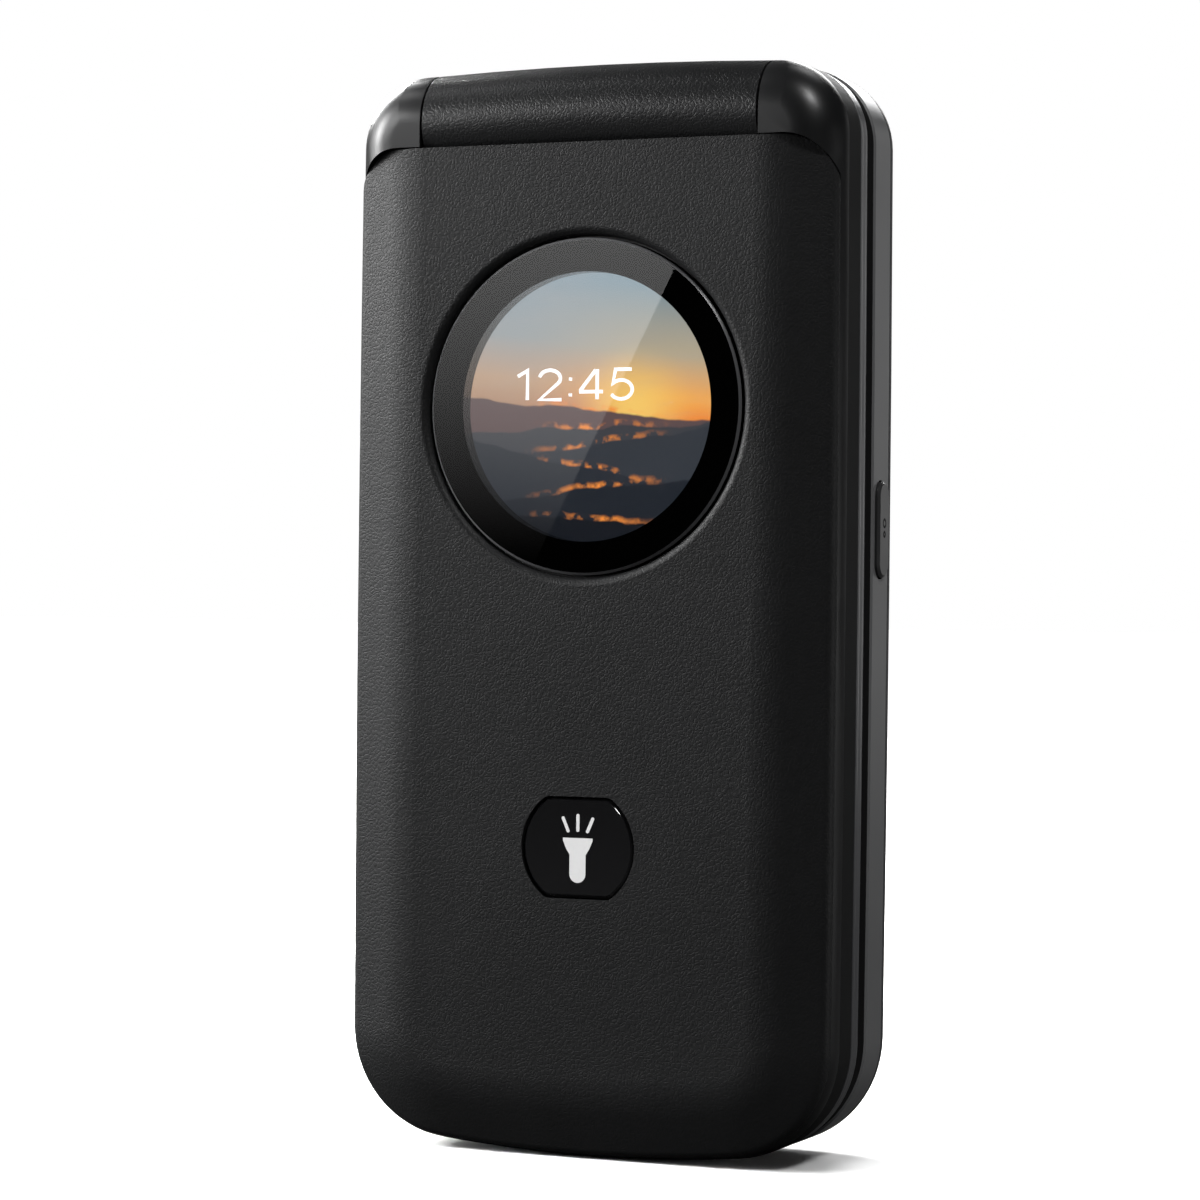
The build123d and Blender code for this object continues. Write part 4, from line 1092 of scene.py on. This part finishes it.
@dataclass
class LidFront(SubAssembly):
    """The lid's outside: grained cover, round window and torch button, in millimetres."""

    clock: str = "12:45"
    clock_shift: Pair = (-1.9, 2.3)
    clock_size: Pair = (12.8, 3.32)
    clock_ink: Print = Print(LIT_INK, "lid", "display_face", 2.7, 0.34, 0.05)
    sign_ink: Print = Print(WHITE_INK, "torch_button", "gloss_black", 0.1)
    bevel_slant: Pair = (-0.9, -0.3)            # Y of its faces' normals
    rays: tuple[tuple[Pair, Pair], ...] = (((-1.05, 1.66), (-1.6, 2.91)), ((1.05, 1.66), (1.6, 2.91)),
                                           ((0.0, 1.76), (0.0, 3.21)))
    ray_wide: float = 0.34
    torch_head: tuple[Pair, ...] = ((-1.6, 0.98), (-1.6, 0.71), (-1.25, -0.09), (-0.87, -0.69))
    torch_foot: tuple[Pair, float] = ((0.0, -2.59), 0.87)

    def build(self) -> None:
        """Builds and dresses every piece of the lid's outside."""
        self.dress("lid_cover", LEATHER, SHELL_SHARP, even=True)
        low, high = self.bevel_slant
        # the window's slanted edge faces get the lighter edge colour, partly painted highlight
        self.second(self.dress("outer_glass", GLASS), GROUND_EDGE_AND_HIGHLIGHT, lambda face: low < face.normal.y < high)
        self.dress_all(lens_ring=RING, outer_display=PICTURE, torch_button=GLOSS)
        x, _, z = middle_of("outer_glass")
        centre = (x + self.clock_shift[0], z + self.clock_shift[1])
        self.lettering("clock_digits", self.clock, centre, self.clock_size, self.clock_ink)
        self.torch_sign()

    def torch_sign(self) -> None:
        """White sign of a torch with three rays, printed on its button."""
        right_side = [(-x, z) for x, z in reversed(self.torch_head)]
        torch = [*self.torch_head, *arc(*self.torch_foot, 180, 360), *right_side]
        outlines = [stroke(*ray, self.ray_wide) for ray in self.rays] + [torch]
        self.mark("torch_sign", outlines, self.sign_ink, middle_of("torch_button")[::2])


@dataclass
class LidShell(SubAssembly):
    """The lid's two shell halves and what is between and in them; depths in millimetres."""

    # depths of the bezel's two thin lighter bands: painted highlight lines
    lines: tuple[Pair, ...] = ((8.58, 8.70), (9.50, 9.62))
    side: Pair = (4.6, 9.0)
    upright: float = 0.3                        # most Y of a side face's normal
    mesh_edge: float = 0.5
    mesh_rows: tuple[int, int] = (31, 5)
    mesh_hole: Stud = Stud(0.11, 0.01, 8)

    def build(self) -> None:
        """Dresses the shell halves, the main display and the small parts."""
        # the frame's flat sides, between the depths in side, get painted shade
        self.band(self.dress("lid_frame", SATIN, SHELL_SHARP, self.side[:1]), SHADED_SIDE, self.side)
        self.band(self.dress("lid_bezel", BEZEL, cuts=sum(self.lines, ())), POLISHED_EDGE_AND_HIGHLIGHT, *self.lines)
        self.dress_all(inner_display=SCREEN, inner_window=GLASS, receiver=GLOSS, receiver_mesh=TIN)
        StudField.over_back("receiver_holes", "receiver_mesh", self.mesh_rows, self.mesh_edge,
                            self.mesh_hole, RUBBER)
        self.dress_all(lid_board=BOARD, lid_magnet=STEEL, lid_screws=BLACK_STEEL, lid_bumpers=RUBBER)

    def band(self, piece: Piece, finish: Finish, *spans: Pair) -> None:
        """Gives the sides of a dressed piece another finish between pairs of depths."""
        self.second(piece, finish, lambda face: abs(face.normal.y) < self.upright and any(
            low < depth_of(face.center.y) < high for low, high in spans))


@dataclass
class HingeHead(SubAssembly):
    """The knuckle between the shoulders and the hinge inside it."""

    def build(self) -> None:
        """Dresses the knuckle and the hinge's inner parts."""
        self.dress("barrel_cover", KNUCKLE, SHELL_SHARP)
        self.dress_all(hinge_cam_head=STEEL, hinge_pivot=STEEL, hinge_cartridge=STEEL, hinge_flex=FILM)


@dataclass
class BaseShell(SubAssembly):
    """The base's shell, its side keys and the openings at its back and foot, in millimetres."""

    rim_slant: float = -0.9                     # most Y of a rim face's normal
    key_colour: Triple = (0.03, 0.03, 0.031)
    rings: tuple[Pair, ...] = ((0.65, 0.38), (-0.45, 0.24))
    contacts: tuple[int, int, float, float] = (8, 2, 3.0, 0.7)     # columns, rows, width, height
    contact: Stud = Stud(0.14, 0.02, 4)
    grille_rows: tuple[int, int] = (25, 15)
    grille_edge: float = 1.6
    grille_knot: Stud = Stud(0.14, 0.02, 6)

    def build(self) -> None:
        """Dresses the shell, whose front rim, the groove's floor, is painted dark as the shade in the gap
        under the lid, and all that shows through it.
        """
        shell = self.dress("base_rear_housing", TUB, SHELL_SHARP, even=True)
        # the shell's forward-facing rim faces take the painted shade of the gap
        self.second(shell, GROOVE_SHADE, lambda face: face.normal.y < self.rim_slant)
        self.dress("base_front_housing", PLATEAU)
        self.dress("back_cover", BACK, SHELL_SHARP, even=True)
        _, depth, height = middle_of("side_key")
        rings = tuple((depth, height + shift, radius) for shift, radius in self.rings)
        side_key = RingedFinish("side key plastic", self.key_colour, roughness=0.3, grain_size=0.15,
                                bump=0.1, bump_depth=0.02, rings=rings)
        self.dress_all(side_key=side_key, volume_rocker=GLOSS, side_switches=GLOSS, charge_port=TIN,
                       camera_module=GLOSS, camera_window=GLASS, torch_led=LAMP, base_screws=BLACK_STEEL)
        self.port_contacts()
        StudField.over_back("speaker_mesh", "speaker", self.grille_rows, self.grille_edge,
                            self.grille_knot, BLACK_STEEL, square=True)

    def port_contacts(self) -> None:
        """Gold contacts in the charging socket."""
        low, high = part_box("charge_port")
        place = (0.0, depth_of((low.y + high.y) / 2), (low.z + 2 * high.z) / 3 / MM)
        field = StudField(*self.contacts, self.contact, square=True)
        field.make("port_contacts", place, Facing.FRONT, GOLD, "charge_port")


@dataclass
class Keypad(SubAssembly):
    """All keys of the base with their printed signs, in millimetres."""

    face_depth: float = 10.4
    digit_size: Pair = (2.5, 3.5)
    one_wide: float = 1.25
    star_tall: float = 2.17
    bar_half: float = 1.3
    bar_thick: float = 0.55
    grip_middle: float = -1.6
    grip_radii: Pair = (2.9, 2.1)
    grip_span: Pair = (130.0, 50.0)             # degrees
    cup_middle: Pair = (1.6, 0.05)
    cup_radius: float = 0.75
    cup_turn: float = 330.0                     # degrees
    handset_drop: float = 0.2

    def build(self) -> None:
        """Dresses the keys and prints their signs."""
        self.dress_all(soft_left_key=KEY, soft_right_key=KEY, call_key=KEY, clear_key=KEY, end_key=KEY,
                       ok_key=KEY)
        names = {"*": "star", "#": "hash"}
        for text in "0123456789*#":
            self.digit_key(f"key_{names.get(text, text)}", text)
        self.dress_all(nav_ring=CHROME, nav_pad=RUBBER, dome_sheet=FILM)
        self.handset("call_key", GREEN_INK, 35.0)
        self.handset("end_key", RED_INK, 180.0)
        dash = stroke((-self.bar_half, 0.0), (self.bar_half, 0.0), self.bar_thick)
        for node in ("soft_left_key", "soft_right_key", "clear_key"):
            self.mark(f"print_{node}", [dash], self.ink(node), middle_of(node)[::2])

    def ink(self, node: str, finish: InkFinish = WHITE_INK) -> Print:
        """Ink on a key's face."""
        return Print(finish, node, "key_face", self.face_depth)

    def digit_key(self, node: str, text: str) -> None:
        """Dresses a digit key and prints its sign.

        Args:
            node: the key's node.
            text: its digit or sign.
        """
        self.dress(node, KEY)
        wide, tall = self.digit_size
        size = (self.one_wide if text == "1" else wide, self.star_tall if text == "*" else tall)
        self.lettering(f"print_{node}", text, middle_of(node)[::2], size, self.ink(node))

    def handset(self, node: str, finish: InkFinish, turn: float) -> None:
        """Handset sign printed on a key.

        Args:
            node: the key's node.
            finish: its ink.
            turn: how far the sign is turned, in degrees.
        """
        middle, (back, front), (start, end) = (0.0, self.grip_middle), self.grip_radii, self.grip_span
        grip = arc(middle, back, start, end, steps=16) + arc(middle, front, end, start, steps=16)
        reach, height = self.cup_middle
        cups = [arc((side, height), self.cup_radius, 0, self.cup_turn, steps=14) for side in (-reach, reach)]
        spin = Matrix.Rotation(math.radians(turn), 2)
        outlines = [[spin @ Vector(point) for point in outline] for outline in [grip] + cups]
        x, _, z = middle_of(node)
        self.mark(f"print_{node}", outlines, self.ink(node, finish), (x, z - self.handset_drop))


@dataclass
class InnerParts(SubAssembly):
    """What the base holds between its shells."""

    def build(self) -> None:
        """Dresses the boards, the battery and the small electrical parts."""
        self.dress_all(main_board=BOARD, battery=WRAP, shield_can=TIN, sim_holder=TIN, antenna=FILM,
                       speaker=RUBBER, vibration_motor=STEEL, microphone=TIN)


@dataclass(frozen=True)
class SoftBox:
    """A rectangular lamp that points at the phone; metres and watts."""

    name: str
    place: Triple
    aim: Triple
    size: Pair
    power: float

    def hang(self) -> Piece:
        """Adds the lamp to the scene.

        Returns:
            The lamp.
        """
        data = bpy.data.lights.new(self.name, "AREA")
        data.shape = "RECTANGLE"
        data.size, data.size_y = self.size
        data.energy = self.power
        lamp = link(self.name, data)
        lamp.location = self.place
        lamp.rotation_euler = (Vector(self.aim) - Vector(self.place)).to_track_quat("-Z", "Y").to_euler()
        return lamp


@dataclass
class Studio:
    """Floor, lamps, world and camera, in metres and degrees."""

    lens: float = 111.77                        # millimetres, on a sensor 36 wide
    sensor: float = 36.0
    nearest: float = 0.01
    yaw: float = 23.343
    pitch: float = 0.068
    roll: float = 0.64
    target: Triple = (0.0021516, -0.0096, 0.055599)
    distance: float = 0.36765
    ambient: float = 0.01
    floor_half: float = 6.0
    floor_seen: Triple = (0.93, 0.93, 0.93)
    floor_unseen: Triple = (0.03, 0.03, 0.03)
    floor_fade: Pair = (0.035, 0.12)
    floor_glow: float = 1.2
    overhead: SoftBox = SoftBox("overhead", (-0.1, -0.05, 1.0), (0.0, 0.0, 0.05), (0.9, 0.7), 16.0)
    softboxes: tuple[SoftBox, ...] = (
        SoftBox("left", (-0.80, -0.10, 0.30), (0.0, 0.0, 0.07), (0.50, 0.50), 4.1),
        SoftBox("left_front", (-0.68, -0.33, 0.33), (0.0, 0.0, 0.07), (0.35, 0.50), 0.85),
        SoftBox("near_left", (-0.33, -0.12, 0.20), (0.0, 0.0, 0.07), (0.10, 0.10), 1.24),
        SoftBox("near_front", (-0.26, -0.30, 0.24), (0.0, 0.0, 0.07), (0.07, 0.07), 0.45),
        SoftBox("near_back", (-0.22, 0.16, 0.24), (0.0, 0.0, 0.08), (0.10, 0.10), 1.7),
        SoftBox("shoulder", (0.44, -0.33, 0.69), (0.02, 0.0, 0.10), (0.14, 0.14), 3.1),
        SoftBox("crown", (-0.48, -0.10, 0.74), (-0.02, 0.0, 0.10), (0.20, 0.20), 0.77),
        SoftBox("above", (0.10, 0.50, 0.90), (0.0, 0.0, 0.10), (0.30, 0.30), 1.0),
        SoftBox("back", (-0.10, 0.85, 0.52), (0.0, 0.0, 0.06), (0.30, 0.30), 2.6),
        SoftBox("behind", (0.28, 0.80, 0.10), (0.0, 0.0, 0.06), (0.15, 0.50), 0.22),
        SoftBox("low_right", (0.45, 0.10, 0.03), (0.02, 0.0, 0.03), (0.30, 0.10), 0.3),
    )
    glass_depth: float = 0.3                    # millimetres behind the lid's front
    glare_line: tuple[Pair, ...] = ((9.5, 88.0), (-4.0, 61.5))      # (x, z) on the glass, millimetres
    card_y: float = -0.6
    card_wide: float = 0.5
    card_foot: float = 0.06                     # height at which its light begins
    card_full: float = 0.17                     # height from which it is full
    card_head: float = 0.3
    card_light: float = 2.2

    def build(self) -> None:
        """Builds the whole studio."""
        floor = self.floor()
        self.world()
        self.lamps(floor)
        self.card()
        self.camera()

    def ahead(self) -> Vector:
        """Direction in which the camera looks.

        Returns:
            A vector of length 1.
        """
        yaw, pitch = math.radians(self.yaw), math.radians(self.pitch)
        level = math.cos(pitch)
        return Vector((-math.sin(yaw) * level, math.cos(yaw) * level, -math.sin(pitch)))

    def eye(self) -> Vector:
        """Place of the camera."""
        return Vector(self.target) - self.distance * self.ahead()

    def camera(self) -> None:
        """Camera in front and a little to the right of the phone."""
        yaw, roll = math.radians(self.yaw), math.radians(self.roll)
        ahead = self.ahead()
        side = Vector((math.cos(yaw), math.sin(yaw), 0.0))
        up = side.cross(ahead)
        right = math.cos(roll) * side + math.sin(roll) * up
        top = math.cos(roll) * up - math.sin(roll) * side
        data = bpy.data.cameras.new("camera")
        data.sensor_width, data.lens, data.clip_start = self.sensor, self.lens, self.nearest
        view = link("camera", data)
        view.matrix_world = (Matrix.Translation(self.eye())
                             @ Matrix((right, top, -ahead)).transposed().to_4x4())
        bpy.context.scene.camera = view

    @staticmethod
    def seen(sheet: NodeSheet) -> Socket:
        """Tells what the eye sees, straight or through glass, from what surfaces mirror.

        Args:
            sheet: the sheet of the material or the world.

        Returns:
            1 for what is seen and 0 for what lights or is mirrored.
        """
        path = sheet.add("ShaderNodeLightPath").outputs
        turns = sheet.maths("ADD", path["Glossy Depth"], path["Diffuse Depth"])
        through = sheet.maths("MULTIPLY", path["Is Transmission Ray"], sheet.maths("LESS_THAN", turns, 0.5))
        return sheet.maths("MAXIMUM", path["Is Camera Ray"], through)

    def floor(self) -> Piece:
        """Pale floor that keeps the phone's shadow and whitens away from it.

        Returns:
            The floor.
        """
        sheet = MaterialSheet("studio floor")
        seen = self.seen(sheet)
        split = sheet.split(sheet.place())
        white = sheet.span(sheet.reach(split["X"], split["Y"]), self.floor_fade, (0.0, self.floor_glow))
        sheet.shade(Base_Color=sheet.blend(seen, self.floor_unseen, self.floor_seen), Roughness=0.9,
                    Specular_IOR_Level=0.0, Emission_Color=(1.0, 1.0, 1.0),
                    Emission_Strength=sheet.maths("MULTIPLY", seen, white))
        mesh = bpy.data.meshes.new("floor")
        half = self.floor_half
        mesh.from_pydata([(-half, -half, 0), (half, -half, 0), (half, half, 0), (-half, half, 0)], [],
                         [(0, 1, 2, 3)])
        mesh.materials.append(sheet.material)
        floor = link("floor", mesh)
        return floor

    def world(self) -> None:
        """White surroundings to the eye, nearly black to the surfaces."""
        world = bpy.data.worlds.new("studio")
        bpy.context.scene.world = world
        world.use_nodes = True
        world.node_tree.nodes.clear()
        sheet = NodeSheet(world.node_tree)
        strength = sheet.span(self.seen(sheet), outlet=(self.ambient, 1.0))
        shade = sheet.add("ShaderNodeBackground", Color=(1.0, 1.0, 1.0), Strength=strength)
        sheet.add("ShaderNodeOutputWorld", Surface=shade.outputs[0])

    def lamps(self, floor: Piece) -> None:
        """A broad lamp that lights the floor alone, and the softboxes round the phone.

        Args:
            floor: the floor.
        """
        lit = bpy.data.collections.new("lit from overhead")
        lit.objects.link(floor)
        self.overhead.hang().light_linking.receiver_collection = lit
        for box in self.softboxes:
            box.hang()

    def card(self) -> None:
        """Lit card that the round window mirrors, with one straight edge and a soft foot."""
        glass = depth_y(self.glass_depth)
        eye = self.eye()
        mirror = Vector((eye.x, 2 * glass - eye.y, eye.z))
        corners = []
        for x, z in self.glare_line:
            along = Vector((x * MM, glass, z * MM)) - mirror
            corners.append(mirror + along * ((self.card_y - mirror.y) / along.y))
        top, foot = corners
        lean = (top.x - foot.x) / (top.z - foot.z)
        edges = [(foot.x + lean * (z - foot.z), z) for z in (self.card_foot, self.card_head)]
        places = [(x - shift, self.card_y, z) for shift in (0.0, self.card_wide) for x, z in edges]
        mesh = bpy.data.meshes.new("card")
        mesh.from_pydata(places, [], [(0, 1, 3, 2)])
        sheet = MaterialSheet("lit card")
        glow = sheet.span(sheet.split(sheet.place())["Z"], (self.card_foot, self.card_full),
                          (0.0, self.card_light), smooth=True)
        sheet.shade(Base_Color=(0.0, 0.0, 0.0), Specular_IOR_Level=0.0, Emission_Color=(1.0, 1.0, 1.0),
                    Emission_Strength=glow)
        mesh.materials.append(sheet.material)
        card = link("card", mesh)
        card.visible_camera = False


def main() -> None:
    """Builds every sub-assembly and the studio."""
    logging.basicConfig(level=logging.INFO, format="%(name)s: %(message)s")
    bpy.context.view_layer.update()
    for assembly in (LidFront(), LidShell(), HingeHead(), BaseShell(), Keypad(), InnerParts()):
        LOG.info("building %s", type(assembly).__name__)
        assembly.build()
    Studio().build()
    bpy.context.scene.view_settings.view_transform = "Standard"


if __name__ == "__main__":
    main()
